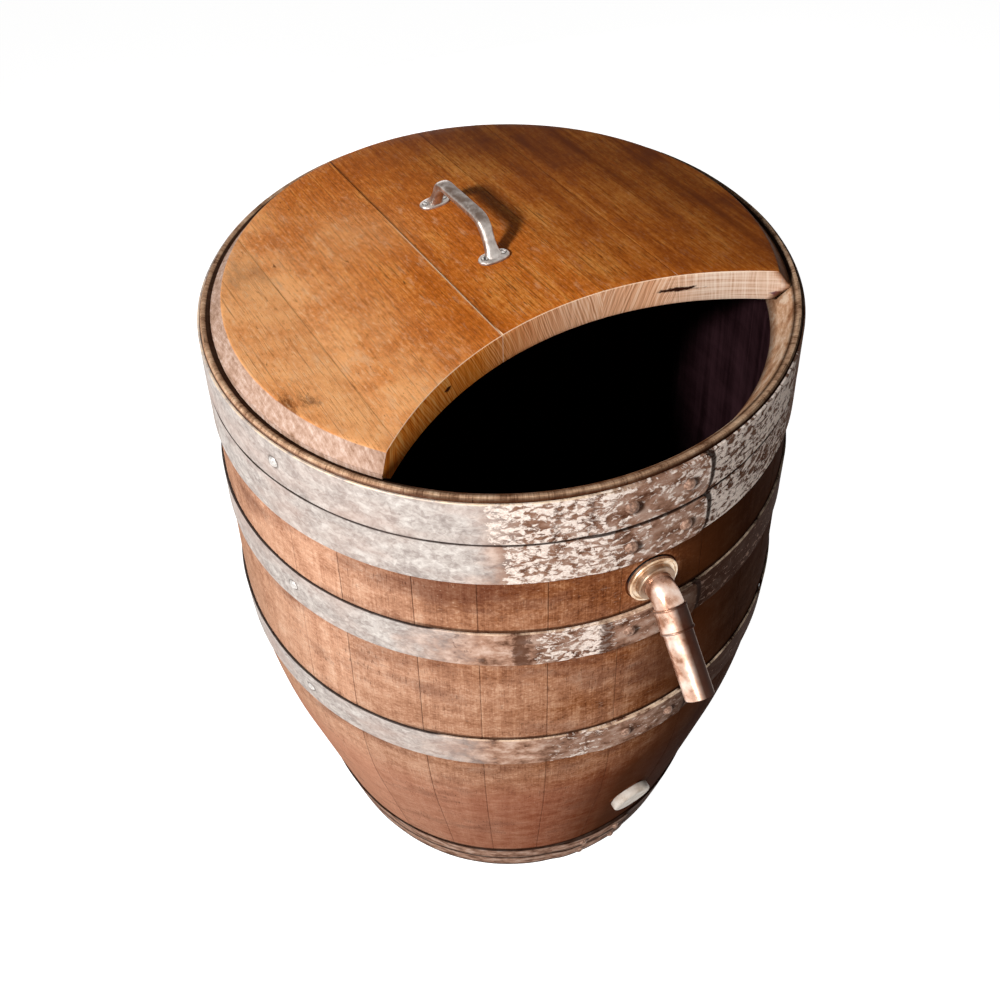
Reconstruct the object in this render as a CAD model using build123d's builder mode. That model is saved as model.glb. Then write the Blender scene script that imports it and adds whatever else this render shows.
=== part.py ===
from build123d import *

import math
import os

# An oak wine barrel stood on end as a water barrel, in millimetres.
# The origin is the middle of the ring it stands on, +Z is up and -Y is the front.
# Its old top head is now a loose lid with a curved cut, a copper overflow spout
# leaves the wall under the top hoops and a bung closes the drain hole below it.

# Barrel shell
BARREL_HEIGHT = 900.0
RIM_RADIUS = 300.0  # outside of the stave ends
BILGE_RADIUS = 345.0  # outside at half height
STRAIGHT_LENGTH = 320.0  # straight stretch at each end of a stave
STAVE_THICKNESS = 28.0
STAVE_WIDTHS = (64.0, 83.0, 66.0, 71.0, 76.0, 99.0, 83.0)  # shared out over the girth
STAVE_ROUNDS = 4
FIRST_JOINT = -130.2  # azimuth in degrees
RIM_FLAT = 8.5  # flat end of a stave, outside the bevel
CHIME_DEPTH = 36.0  # height of the bevel inside each end
CROZE_MARGIN = 4.0  # plain wall between the bevel and the groove
CROZE_WIDTH = 7.0
CROZE_DEPTH = 5.0

# Hoops, each with its edges measured from the nearer end of the barrel
CHIME_HOOP = (3.0, 49.0)
NECK_HOOP = (50.5, 99.0)
QUARTER_HOOP = (170.0, 218.0)
BILGE_HOOP = (354.0, 407.0)
HOOP_THICKNESS = 2.0
HOOP_GAP = 0.3  # between a hoop and the wood
LAP_AZIMUTH = -54.6  # where the outer end of every hoop stops
LAP_LENGTH = 104.0
LAP_RAMP = 26.0  # joggle that lifts the outer end over the inner one
LAP_INSET = 0.6  # the outer end is this much narrower on each edge
LAP_CORNER = 9.0
RIVET_END = 25.0  # from the end of the lap to its first rivet
RIVET_PITCH = 56.0
RIVET_HEAD_RADIUS = 6.5
RIVET_HEAD_HEIGHT = 3.5
RIVET_SHANK_RADIUS = 3.0
NAIL_AZIMUTH = -131.3
NAIL_HEAD_RADIUS = 4.8
NAIL_HEAD_HEIGHT = 2.2
NAIL_SHANK_RADIUS = 1.8
NAIL_LENGTH = 20.0
HOLE_CLEARANCE = 0.15  # round a shank, a dowel or a pipe end

# Heads: the fixed bottom and the loose lid
BOTTOM_THICKNESS = 30.0
BOTTOM_BEVEL = 14.0
BOTTOM_JOINTS = (-172.0, -58.0, 62.0, 168.0)
GROOVE_CLEARANCE = 0.3
LID_RADIUS = 289.3
LID_THICKNESS = 34.0
LID_NOSE = 5.0  # height of the blunt edge
LID_LAND = 1.5  # depth of the blunt edge
LID_BEVEL = 12.5
LID_JOINTS = (-205.0, -59.0, 57.0, 132.0)
LID_GAP = 0.3  # between the lid and the bevel it rests on
BOARD_AZIMUTH = -58.0  # the way the boards run
CUT_DISTANCE = 445.0  # centre of the curved cut, along the boards
CUT_RADIUS = 352.0
DOWEL_RADIUS = 4.0
DOWEL_LENGTH = 40.0
LID_DOWELS = (-165.0, -20.0)
BOTTOM_DOWELS = (-110.0, 110.0)
BATTEN_WIDTH = 38.0
BATTEN_THICKNESS = 22.0
BATTEN_OVERHANG = 25.0  # past the outermost joint, on both sides
BATTENS = (-112.0, 44.0)
BATTEN_SCREW_LENGTH = 40.0
BATTEN_SCREW_MARGIN = 12.0  # least distance from a joint or a batten end

# Handle on the lid
HANDLE_CENTRE = -66.5
HANDLE_SIDE = -2.5
HANDLE_SPACING = 119.5
HANDLE_HEIGHT = 39.0
HANDLE_WIDTH = 13.0
HANDLE_DEPTH = 9.0
HANDLE_EDGE = 3.2
HANDLE_LEAN = 20.0  # each leg leans in this far
HANDLE_BEND = 15.0
FOOT_WIDTH = 16.0
FOOT_THICKNESS = 3.5
FOOT_END = 6.5  # from a screw to the tip of its foot
SCREW_RADIUS = 2.0
SCREW_LENGTH = 20.0
SCREW_HEAD_RADIUS = 3.8
SCREW_HEAD_HEIGHT = 2.2
SCREW_SLOT = 1.2
SCREW_MARGIN = 0.4  # between a screw head and the leg beside it

# Overflow spout
SPOUT_AZIMUTH = -64.7
SPOUT_DROP = 132.5  # from the rim down to the fitting, clear of the top hoops
SPOUT_TURN = -3.0  # degrees about the axis of the fitting
FLANGE_RADIUS = 26.0
FLANGE_THICKNESS = 4.5
FLANGE_EDGE = 1.4
COLLAR_RADIUS = 19.5
COLLAR_HEIGHT = 10.0
SEAT_DEPTH = 2.0  # flat cut into the round wall outside
SEAT_CLEARANCE = 1.5
INNER_SEAT_DEPTH = 1.0
SOCKET_DEPTH = 7.0
TAIL_RADIUS = 16.6
TAIL_EXTRA = 4.0  # thread left past the nut
NUT_RADIUS = 25.0
NUT_THICKNESS = 9.0
PIPE_RADIUS = 14.0
PIPE_WALL = 1.3
ELBOW_RADIUS = 28.0
ELBOW_ANGLE = 45.0
ELBOW_STUB = 0.5
SLEEVE_RADIUS = 15.5
SLEEVE_LENGTH = 24.0
BEAD_HEIGHT = 0.8
BEAD_WIDTH = 2.4
SPOUT_TUBE = 63.0  # bare tube past the sleeve

# Drain bung
BUNG_AZIMUTH = -60.5
BUNG_HEIGHT = 252.0
BUNG_HEAD_RADIUS = 28.9
BUNG_PROUD = 11.4
BUNG_EDGE = 4.0
BUNG_HOLE_RADIUS = 24.5
BUNG_TAPER = 1.8
BUNG_DEPTH = 34.0
BUNG_GAP = 0.3

# Worked-out sizes of the shell
HALF = BARREL_HEIGHT / 2
END_SLOPE = 2 * (BILGE_RADIUS - RIM_RADIUS) / (HALF + STRAIGHT_LENGTH)
SHOULDER_RADIUS = RIM_RADIUS + END_SLOPE * STRAIGHT_LENGTH
SAGITTA = BILGE_RADIUS - SHOULDER_RADIUS
BELLY_RADIUS = ((HALF - STRAIGHT_LENGTH) ** 2 + SAGITTA**2) / (2 * SAGITTA)
CROZE_LOW = CHIME_DEPTH + CROZE_MARGIN
CROZE_HIGH = CROZE_LOW + CROZE_WIDTH
RIM_INNER = RIM_RADIUS - RIM_FLAT
STAVE_COUNT = STAVE_ROUNDS * len(STAVE_WIDTHS)
DEGREES_PER_WIDTH = 360 / (STAVE_ROUNDS * sum(STAVE_WIDTHS))


def belly_height(z):
    """Distance of the round belly from its centre line, below zero where the belly is hollow."""
    return math.copysign(math.sqrt(BELLY_RADIUS**2 - (z - HALF) ** 2), BELLY_RADIUS)


def outer_radius(z):
    """Outside radius of the shell: straight ends and a round belly between them."""
    from_end = min(z, BARREL_HEIGHT - z)
    if from_end < STRAIGHT_LENGTH:
        return RIM_RADIUS + END_SLOPE * from_end
    return BILGE_RADIUS - BELLY_RADIUS + belly_height(z)


def outer_slope(z):
    """Growth of the outside radius with height."""
    if z < STRAIGHT_LENGTH:
        return END_SLOPE
    if z > BARREL_HEIGHT - STRAIGHT_LENGTH:
        return -END_SLOPE
    return (HALF - z) / belly_height(z)


def inner_radius(z):
    return outer_radius(z) - STAVE_THICKNESS


def radial(azimuth):
    return Vector(math.cos(math.radians(azimuth)), math.sin(math.radians(azimuth)), 0)


def radial_plane(azimuth):
    """Upright plane through the barrel's axis: local x is the radius, local y is the height."""
    return Plane(origin=(0, 0, 0), x_dir=radial(azimuth), z_dir=radial(azimuth - 90))


def board_plane(z):
    """Level plane with local x along the boards of a head and local y across them."""
    return Plane(origin=(0, 0, z), x_dir=radial(BOARD_AZIMUTH), z_dir=(0, 0, 1))


def wall_plane(azimuth, z):
    """Plane that touches the outside of the shell, with local z outward and local y up the stave."""
    origin = radial(azimuth) * outer_radius(z) + Vector(0, 0, z)
    outward = radial(azimuth) - Vector(0, 0, outer_slope(z))
    return Plane(origin=origin, x_dir=radial(azimuth + 90), z_dir=outward)


def raised(plane, height):
    return Plane(origin=plane.origin + plane.z_dir * height, x_dir=plane.x_dir, z_dir=plane.z_dir)


def write(part, name):
    part.label = name
    export_step(part, f"parts/{name}.step")


def write_group(solids, name):
    write(Compound(children=solids), name)


os.makedirs("parts", exist_ok=True)

# Hoop sizes: the lower and upper edge of each band, from the floor up
hoops = {
    "bottom_chime_hoop": CHIME_HOOP,
    "bottom_neck_hoop": NECK_HOOP,
    "bilge_hoop": (BARREL_HEIGHT - BILGE_HOOP[1], BARREL_HEIGHT - BILGE_HOOP[0]),
    "quarter_hoop": (BARREL_HEIGHT - QUARTER_HOOP[1], BARREL_HEIGHT - QUARTER_HOOP[0]),
    "top_neck_hoop": (BARREL_HEIGHT - NECK_HOOP[1], BARREL_HEIGHT - NECK_HOOP[0]),
    "top_chime_hoop": (BARREL_HEIGHT - CHIME_HOOP[1], BARREL_HEIGHT - CHIME_HOOP[0]),
}
nailed_hoops = ("bilge_hoop", "quarter_hoop", "top_chime_hoop")
nail_planes = [
    raised(wall_plane(NAIL_AZIMUTH, sum(hoops[name]) / 2), HOOP_GAP + HOOP_THICKNESS)
    for name in nailed_hoops
]

# Places of the spout and the bung on the wall
spout_plane = wall_plane(SPOUT_AZIMUTH, BARREL_HEIGHT - SPOUT_DROP)
spout_inner = raised(spout_plane, INNER_SEAT_DEPTH - STAVE_THICKNESS)
bung_plane = wall_plane(BUNG_AZIMUTH, BUNG_HEIGHT)

# Everything that is bored out of the staves
with BuildPart() as bores:
    with BuildSketch(raised(spout_plane, -SEAT_DEPTH)):
        Circle(FLANGE_RADIUS + SEAT_CLEARANCE)
    extrude(amount=STAVE_THICKNESS)
    with BuildSketch(spout_plane):
        Circle(TAIL_RADIUS + HOLE_CLEARANCE)
    extrude(amount=STAVE_THICKNESS, both=True)
    with BuildSketch(spout_inner):
        Circle(NUT_RADIUS + SEAT_CLEARANCE)
    extrude(amount=-STAVE_THICKNESS)
    with BuildSketch(bung_plane):
        Circle(BUNG_HOLE_RADIUS)
    extrude(amount=2 * STAVE_THICKNESS, both=True)
    for plane in nail_planes:
        with BuildSketch(plane):
            Circle(NAIL_SHANK_RADIUS + HOLE_CLEARANCE)
        extrude(amount=-NAIL_LENGTH)

# Staves
joint = FIRST_JOINT
for number in range(STAVE_COUNT):
    width = STAVE_WIDTHS[number % len(STAVE_WIDTHS)] * DEGREES_PER_WIDTH
    with BuildPart() as stave:
        with BuildSketch(radial_plane(joint)):
            with BuildLine():
                shoulder = (SHOULDER_RADIUS, STRAIGHT_LENGTH)
                upper_shoulder = (SHOULDER_RADIUS, BARREL_HEIGHT - STRAIGHT_LENGTH)
                Line((RIM_RADIUS, 0), shoulder)
                ThreePointArc(shoulder, (BILGE_RADIUS, HALF), upper_shoulder)
                Line(upper_shoulder, (RIM_RADIUS, BARREL_HEIGHT))
                Polyline(
                    (RIM_RADIUS, BARREL_HEIGHT),
                    (RIM_INNER, BARREL_HEIGHT),
                    (inner_radius(CHIME_DEPTH), BARREL_HEIGHT - CHIME_DEPTH),
                    (inner_radius(CROZE_LOW), BARREL_HEIGHT - CROZE_LOW),
                    (inner_radius(CROZE_LOW) + CROZE_DEPTH, BARREL_HEIGHT - CROZE_LOW),
                    (inner_radius(CROZE_LOW) + CROZE_DEPTH, BARREL_HEIGHT - CROZE_HIGH),
                    (inner_radius(CROZE_HIGH), BARREL_HEIGHT - CROZE_HIGH),
                    (SHOULDER_RADIUS - STAVE_THICKNESS, BARREL_HEIGHT - STRAIGHT_LENGTH),
                )
                ThreePointArc(
                    (SHOULDER_RADIUS - STAVE_THICKNESS, BARREL_HEIGHT - STRAIGHT_LENGTH),
                    (BILGE_RADIUS - STAVE_THICKNESS, HALF),
                    (SHOULDER_RADIUS - STAVE_THICKNESS, STRAIGHT_LENGTH),
                )
                Polyline(
                    (SHOULDER_RADIUS - STAVE_THICKNESS, STRAIGHT_LENGTH),
                    (inner_radius(CROZE_HIGH), CROZE_HIGH),
                    (inner_radius(CROZE_LOW) + CROZE_DEPTH, CROZE_HIGH),
                    (inner_radius(CROZE_LOW) + CROZE_DEPTH, CROZE_LOW),
                    (inner_radius(CROZE_LOW), CROZE_LOW),
                    (inner_radius(CHIME_DEPTH), CHIME_DEPTH),
                    (RIM_INNER, 0),
                    (RIM_RADIUS, 0),
                )
            make_face()
        revolve(axis=Axis.Z, revolution_arc=width)
        add(bores.part, mode=Mode.SUBTRACT)
    write(stave.part, f"stave_{number + 1:02d}")
    joint += width

# Hoops: a riveted band whose outer end steps up over its inner end
with BuildPart() as rivet:
    with BuildSketch(Plane.XZ):
        with BuildLine():
            Polyline(
                (0, RIVET_HEAD_HEIGHT),
                (0, -2 * HOOP_THICKNESS),
                (RIVET_SHANK_RADIUS, -2 * HOOP_THICKNESS),
                (RIVET_SHANK_RADIUS, 0),
                (RIVET_HEAD_RADIUS, 0),
            )
            TangentArc((0, RIVET_HEAD_HEIGHT), (RIVET_HEAD_RADIUS, 0), tangent=(1, 0))
        make_face()
    revolve(axis=Axis.Z)


def lap_point(curve, height, along):
    """Local point of a lap: its height above the band and its distance along it from the lap's middle."""
    angle = along / curve
    return ((curve + height) * math.cos(angle) - curve, (curve + height) * math.sin(angle))


def riveted_hoop(low, high):
    """Conical band between two heights, with its lap; also gives the planes of the rivet heads."""
    middle = (low + high) / 2
    slope = (outer_radius(high) - outer_radius(low)) / (high - low)
    radius = outer_radius(middle) + HOOP_GAP
    rise = slope * (high - low) / 2
    outside = radius + HOOP_THICKNESS
    azimuth = LAP_AZIMUTH - math.degrees(LAP_LENGTH / outside) / 2
    up = radial(azimuth) * slope + Vector(0, 0, 1)
    lap_plane = Plane(
        origin=radial(azimuth) * outside + Vector(0, 0, middle),
        x_dir=radial(azimuth) - Vector(0, 0, slope),
        z_dir=up,
    )
    tilt = math.atan(slope)
    curve = outside / math.cos(tilt)
    end = LAP_LENGTH / 2
    top = [lap_point(curve, HOOP_THICKNESS, along) for along in (-end, 0, end)]
    inside = [lap_point(curve, -HOOP_THICKNESS / 2, along) for along in (end, 0, -end - LAP_RAMP)]

    with BuildPart() as lap:
        with BuildSketch(lap_plane):
            with BuildLine():
                ThreePointArc(*top)
                Line(top[-1], inside[0])
                ThreePointArc(*inside)
                Line(inside[-1], top[0])
            make_face()
        extrude(amount=(high - low) / 2 / math.cos(tilt) - LAP_INSET, both=True)
        fillet(lap.edges().filter_by(GeomType.LINE).group_by(SortBy.LENGTH)[0], LAP_CORNER)

    heads = []
    for distance in (RIVET_END, RIVET_END + RIVET_PITCH):
        foot = lap_plane.from_local_coords(lap_point(curve, HOOP_THICKNESS, end - distance))
        tip = lap_plane.from_local_coords(lap_point(curve, 2 * HOOP_THICKNESS, end - distance))
        heads.append(Plane(origin=foot, x_dir=up, z_dir=tip - foot))

    with BuildPart() as hoop:
        with BuildSketch(radial_plane(azimuth)):
            with BuildLine():
                Polyline(
                    (radius - rise, low),
                    (radius - rise + HOOP_THICKNESS, low),
                    (radius + rise + HOOP_THICKNESS, high),
                    (radius + rise, high),
                    close=True,
                )
            make_face()
        revolve(axis=Axis.Z)
        add(lap.part)
        for plane in heads:
            with BuildSketch(plane):
                Circle(RIVET_SHANK_RADIUS + HOLE_CLEARANCE)
            extrude(amount=3 * HOOP_THICKNESS, both=True, mode=Mode.SUBTRACT)
        for plane in nail_planes:
            with BuildSketch(plane):
                Circle(NAIL_SHANK_RADIUS + HOLE_CLEARANCE)
            extrude(amount=2 * HOOP_THICKNESS, both=True, mode=Mode.SUBTRACT)
    return hoop.part, heads


rivets = []
for name, (low, high) in hoops.items():
    band, rivet_planes = riveted_hoop(low, high)
    write(band, name)
    rivets += [plane.location * rivet.part for plane in rivet_planes]
write_group(rivets, "hoop_rivets")

with BuildPart() as nail:
    with BuildSketch(Plane.XZ):
        with BuildLine():
            Polyline(
                (0, NAIL_HEAD_HEIGHT),
                (0, -NAIL_LENGTH),
                (NAIL_SHANK_RADIUS, NAIL_SHANK_RADIUS - NAIL_LENGTH),
                (NAIL_SHANK_RADIUS, 0),
                (NAIL_HEAD_RADIUS, 0),
            )
            TangentArc((0, NAIL_HEAD_HEIGHT), (NAIL_HEAD_RADIUS, 0), tangent=(1, 0))
        make_face()
    revolve(axis=Axis.Z)
write_group([plane.location * nail.part for plane in nail_planes], "hoop_nails")


# Heads: boards cut from one bevelled disc and held edge to edge by dowels
def head_board(middle, outline, edges):
    """One board of a head: the disc with this edge outline, kept between two joints."""
    with BuildPart() as board:
        with BuildSketch(radial_plane(BOARD_AZIMUTH)):
            with BuildLine():
                Polyline(*[(x, middle + y) for x, y in outline], close=True)
            make_face()
        revolve(axis=Axis.Z)
        with BuildSketch(board_plane(middle)):
            with Locations((0, (edges[0] + edges[1]) / 2)):
                Rectangle(4 * RIM_RADIUS, edges[1] - edges[0])
        extrude(amount=RIM_RADIUS, both=True, mode=Mode.INTERSECT)
    return board.part


def head_outline(radius, land, nose, bevel, thickness):
    """Half section of a head: a blunt nose at the edge and a bevel above and below it."""
    return [
        (0, -thickness / 2),
        (radius - land - bevel, -thickness / 2),
        (radius - land, -nose / 2),
        (radius, -nose / 2),
        (radius, nose / 2),
        (radius - land, nose / 2),
        (radius - land - bevel, thickness / 2),
        (0, thickness / 2),
    ]


def dowel_planes(middle, joints, places):
    """Planes square to the board edges, at the middle of each dowel."""
    level = board_plane(middle)
    return [
        Plane(origin=level.from_local_coords((along, across)), x_dir=level.z_dir, z_dir=level.y_dir)
        for across in joints
        for along in places
    ]


def drill(part, planes, radius, depth):
    """Bore a blind hole both ways from each plane."""
    with BuildPart() as drilled:
        add(part)
        for plane in planes:
            with BuildSketch(plane):
                Circle(radius)
            extrude(amount=depth, both=True, mode=Mode.SUBTRACT)
    return drilled.part


with BuildPart() as dowel:
    Cylinder(DOWEL_RADIUS, DOWEL_LENGTH)

dowel_hole = DOWEL_LENGTH / 2 + HOLE_CLEARANCE
bottom_middle = (CROZE_LOW + CROZE_HIGH) / 2
bottom_radius = inner_radius(CROZE_LOW) + CROZE_DEPTH - GROOVE_CLEARANCE
bottom_outline = head_outline(
    bottom_radius,
    CROZE_DEPTH + GROOVE_CLEARANCE,
    CROZE_WIDTH - 2 * GROOVE_CLEARANCE,
    BOTTOM_BEVEL,
    BOTTOM_THICKNESS,
)
bottom_edges = (-bottom_radius, *BOTTOM_JOINTS, bottom_radius)
bottom_dowels = dowel_planes(bottom_middle, BOTTOM_JOINTS, BOTTOM_DOWELS)
for number, edges in enumerate(zip(bottom_edges, bottom_edges[1:]), start=1):
    board = head_board(bottom_middle, bottom_outline, edges)
    write(drill(board, bottom_dowels, DOWEL_RADIUS + HOLE_CLEARANCE, dowel_hole), f"bottom_board_{number}")
write_group([plane.location * dowel.part for plane in bottom_dowels], "bottom_dowels")

# Lid, resting with its nose on the bevel inside the rim
chime_slope = (RIM_INNER - inner_radius(CHIME_DEPTH)) / CHIME_DEPTH
lid_middle = BARREL_HEIGHT - (RIM_INNER - LID_RADIUS - LID_GAP) / chime_slope + LID_NOSE / 2
lid_top = lid_middle + LID_THICKNESS / 2
lid_bottom = lid_middle - LID_THICKNESS / 2
lid_outline = head_outline(LID_RADIUS, LID_LAND, LID_NOSE, LID_BEVEL, LID_THICKNESS)
lid_edges = (-LID_RADIUS, *LID_JOINTS, LID_RADIUS)
lid_dowels = dowel_planes(lid_middle, LID_JOINTS, LID_DOWELS)

handle_plane = Plane(
    origin=board_plane(lid_top).from_local_coords((HANDLE_CENTRE, HANDLE_SIDE)),
    x_dir=radial(BOARD_AZIMUTH),
    z_dir=(0, 0, 1),
)
screw_side = HANDLE_WIDTH / 2 + SCREW_MARGIN + SCREW_HEAD_RADIUS
foot_places = [(along * HANDLE_SPACING / 2, across * screw_side) for along in (-1, 1) for across in (-1, 1)]
handle_screws = [
    Plane(
        origin=handle_plane.from_local_coords((x, y, FOOT_THICKNESS)),
        x_dir=handle_plane.x_dir,
        z_dir=handle_plane.z_dir,
    )
    for x, y in foot_places
]

batten_reach = max(abs(joint) for joint in LID_JOINTS) + BATTEN_OVERHANG
screw_places = []
for low, high in zip(lid_edges, lid_edges[1:]):
    inner = max(low, -batten_reach) + BATTEN_SCREW_MARGIN
    outer = min(high, batten_reach) - BATTEN_SCREW_MARGIN
    screw_places.append((inner + outer) / 2)
batten_plane = board_plane(lid_bottom - BATTEN_THICKNESS)
batten_screws = [
    Plane(origin=batten_plane.from_local_coords((along, across)), x_dir=batten_plane.x_dir, z_dir=(0, 0, 1))
    for along in BATTENS
    for across in screw_places
]

for number, edges in enumerate(zip(lid_edges, lid_edges[1:]), start=1):
    board = head_board(lid_middle, lid_outline, edges)
    board = drill(board, lid_dowels, DOWEL_RADIUS + HOLE_CLEARANCE, dowel_hole)
    board = drill(board, handle_screws, SCREW_RADIUS + HOLE_CLEARANCE, SCREW_LENGTH + HOLE_CLEARANCE)
    board = drill(board, batten_screws, SCREW_RADIUS + HOLE_CLEARANCE, BATTEN_SCREW_LENGTH + HOLE_CLEARANCE)
    with BuildPart() as lid_board:
        add(board)
        with BuildSketch(board_plane(lid_middle)):
            with Locations((CUT_DISTANCE, 0)):
                Circle(CUT_RADIUS)
        extrude(amount=LID_THICKNESS, both=True, mode=Mode.SUBTRACT)
    write(lid_board.part, f"lid_board_{number}")
write_group([plane.location * dowel.part for plane in lid_dowels], "lid_dowels")

with BuildPart() as battens:
    with BuildSketch(batten_plane):
        with Locations(*[(along, 0) for along in BATTENS]):
            Rectangle(BATTEN_WIDTH, 2 * batten_reach)
    extrude(amount=BATTEN_THICKNESS)
write(drill(battens.part, batten_screws, SCREW_RADIUS + HOLE_CLEARANCE, BATTEN_SCREW_LENGTH), "lid_battens")


def wood_screw(length):
    """Screw with a slotted round head above its plane and the shank below it."""
    with BuildPart() as screw:
        with BuildSketch(Plane.XZ):
            with BuildLine():
                Polyline(
                    (0, SCREW_HEAD_HEIGHT),
                    (0, -length),
                    (SCREW_RADIUS, SCREW_RADIUS - length),
                    (SCREW_RADIUS, 0),
                    (SCREW_HEAD_RADIUS, 0),
                )
                TangentArc((0, SCREW_HEAD_HEIGHT), (SCREW_HEAD_RADIUS, 0), tangent=(1, 0))
            make_face()
        revolve(axis=Axis.Z)
        with BuildSketch(Plane.XY.offset(SCREW_HEAD_HEIGHT)):
            Rectangle(SCREW_SLOT, 2 * SCREW_HEAD_RADIUS)
        extrude(amount=-SCREW_SLOT, mode=Mode.SUBTRACT)
    return screw.part


batten_screw = wood_screw(BATTEN_SCREW_LENGTH)
upward = [Plane(origin=plane.origin, x_dir=plane.x_dir, z_dir=(0, 0, -1)) for plane in batten_screws]
write_group([plane.location * batten_screw for plane in upward], "batten_screws")

# Handle: a flat bar bent to two leaning legs, each on a screwed foot
with BuildPart() as handle:
    grip_height = HANDLE_HEIGHT - HANDLE_DEPTH / 2
    leg = HANDLE_SPACING / 2
    upright = Plane(origin=handle_plane.origin, x_dir=handle_plane.x_dir, z_dir=-handle_plane.y_dir)
    with BuildLine(upright) as spine:
        FilletPolyline(
            (-leg, 0),
            (HANDLE_LEAN - leg, grip_height),
            (leg - HANDLE_LEAN, grip_height),
            (leg, 0),
            radius=HANDLE_BEND,
        )
    with BuildSketch(Plane(origin=spine.line @ 0, x_dir=handle_plane.y_dir, z_dir=spine.line % 0)):
        RectangleRounded(HANDLE_WIDTH, HANDLE_DEPTH, HANDLE_EDGE)
    sweep(path=spine.line)
    split(bisect_by=handle_plane, keep=Keep.TOP)
    with BuildSketch(handle_plane):
        with Locations((-leg, 0), (leg, 0)):
            SlotOverall(2 * (screw_side + FOOT_END), FOOT_WIDTH, rotation=90)
    extrude(amount=FOOT_THICKNESS)
    for plane in handle_screws:
        with BuildSketch(plane):
            Circle(SCREW_RADIUS + HOLE_CLEARANCE)
        extrude(amount=-FOOT_THICKNESS, mode=Mode.SUBTRACT)
write(handle.part, "handle")
handle_screw = wood_screw(SCREW_LENGTH)
write_group([plane.location * handle_screw for plane in handle_screws], "handle_screws")

# Overflow spout: fitting through the wall, elbow, sleeve and open tube
nut_face = STAVE_THICKNESS - INNER_SEAT_DEPTH
tail_length = nut_face + NUT_THICKNESS + TAIL_EXTRA
spout_axis = Axis(spout_plane.origin, spout_plane.z_dir)
with BuildPart() as fitting:
    with BuildSketch(spout_plane):
        Circle(FLANGE_RADIUS)
    extrude(amount=FLANGE_THICKNESS)
    fillet(fitting.edges().sort_by(spout_axis)[-1], FLANGE_EDGE)
    with BuildSketch(spout_plane):
        Circle(COLLAR_RADIUS)
    extrude(amount=COLLAR_HEIGHT)
    fillet(fitting.edges().sort_by(spout_axis)[-1], FLANGE_EDGE)
    with BuildSketch(spout_plane):
        Circle(TAIL_RADIUS)
    extrude(amount=-tail_length)
    with BuildSketch(raised(spout_plane, COLLAR_HEIGHT)):
        Circle(PIPE_RADIUS + HOLE_CLEARANCE)
    extrude(amount=-SOCKET_DEPTH, mode=Mode.SUBTRACT)
    with BuildSketch(spout_plane):
        Circle(PIPE_RADIUS - PIPE_WALL)
    extrude(amount=tail_length, both=True, mode=Mode.SUBTRACT)
write(fitting.part, "spout_fitting")

with BuildPart() as gasket:
    with BuildSketch(spout_plane):
        Circle(FLANGE_RADIUS - FLANGE_EDGE)
        Circle(TAIL_RADIUS + HOLE_CLEARANCE, mode=Mode.SUBTRACT)
    extrude(amount=-SEAT_DEPTH)
write(gasket.part, "spout_gasket")

with BuildPart() as locknut:
    with BuildSketch(spout_inner):
        RegularPolygon(NUT_RADIUS, 6)
        Circle(TAIL_RADIUS + HOLE_CLEARANCE, mode=Mode.SUBTRACT)
    extrude(amount=-NUT_THICKNESS)
write(locknut.part, "spout_locknut")

bend_way = spout_plane.x_dir * math.sin(math.radians(SPOUT_TURN))
bend_way = bend_way - spout_plane.y_dir * math.cos(math.radians(SPOUT_TURN))
bend_plane = Plane(
    origin=spout_plane.origin,
    x_dir=spout_plane.z_dir,
    z_dir=spout_plane.z_dir.cross(bend_way),
)
elbow_angle = math.radians(ELBOW_ANGLE)
elbow_setback = ELBOW_RADIUS * math.tan(elbow_angle / 2)
corner = COLLAR_HEIGHT + ELBOW_STUB + elbow_setback
sleeve_start = elbow_setback + ELBOW_STUB
sleeve_middle = sleeve_start + SLEEVE_LENGTH / 2
outlet = Plane(
    origin=bend_plane.from_local_coords((corner, 0)),
    x_dir=bend_plane.z_dir,
    z_dir=bend_plane.x_dir * math.cos(elbow_angle) + bend_plane.y_dir * math.sin(elbow_angle),
)

with BuildPart() as elbow:
    with BuildLine(bend_plane) as bend:
        FilletPolyline(
            (COLLAR_HEIGHT - SOCKET_DEPTH, 0),
            (corner, 0),
            (corner + sleeve_middle * math.cos(elbow_angle), sleeve_middle * math.sin(elbow_angle)),
            radius=ELBOW_RADIUS,
        )
    with BuildSketch(raised(spout_plane, COLLAR_HEIGHT - SOCKET_DEPTH)):
        Circle(PIPE_RADIUS)
        Circle(PIPE_RADIUS - PIPE_WALL, mode=Mode.SUBTRACT)
    sweep(path=bend.line)
write(elbow.part, "spout_elbow")

with BuildPart() as sleeve:
    with BuildSketch(raised(outlet, sleeve_start)):
        Circle(SLEEVE_RADIUS)
    extrude(amount=SLEEVE_LENGTH)
    for offset in (0, SLEEVE_LENGTH - BEAD_WIDTH):
        with BuildSketch(raised(outlet, sleeve_start + offset)):
            Circle(SLEEVE_RADIUS + BEAD_HEIGHT)
        extrude(amount=BEAD_WIDTH)
    with BuildSketch(raised(outlet, sleeve_start)):
        Circle(PIPE_RADIUS + HOLE_CLEARANCE)
    extrude(amount=SLEEVE_LENGTH, mode=Mode.SUBTRACT)
write(sleeve.part, "spout_sleeve")

with BuildPart() as tube:
    with BuildSketch(raised(outlet, sleeve_middle)):
        Circle(PIPE_RADIUS)
        Circle(PIPE_RADIUS - PIPE_WALL, mode=Mode.SUBTRACT)
    extrude(amount=SLEEVE_LENGTH / 2 + SPOUT_TUBE)
write(tube.part, "spout_tube")

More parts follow.
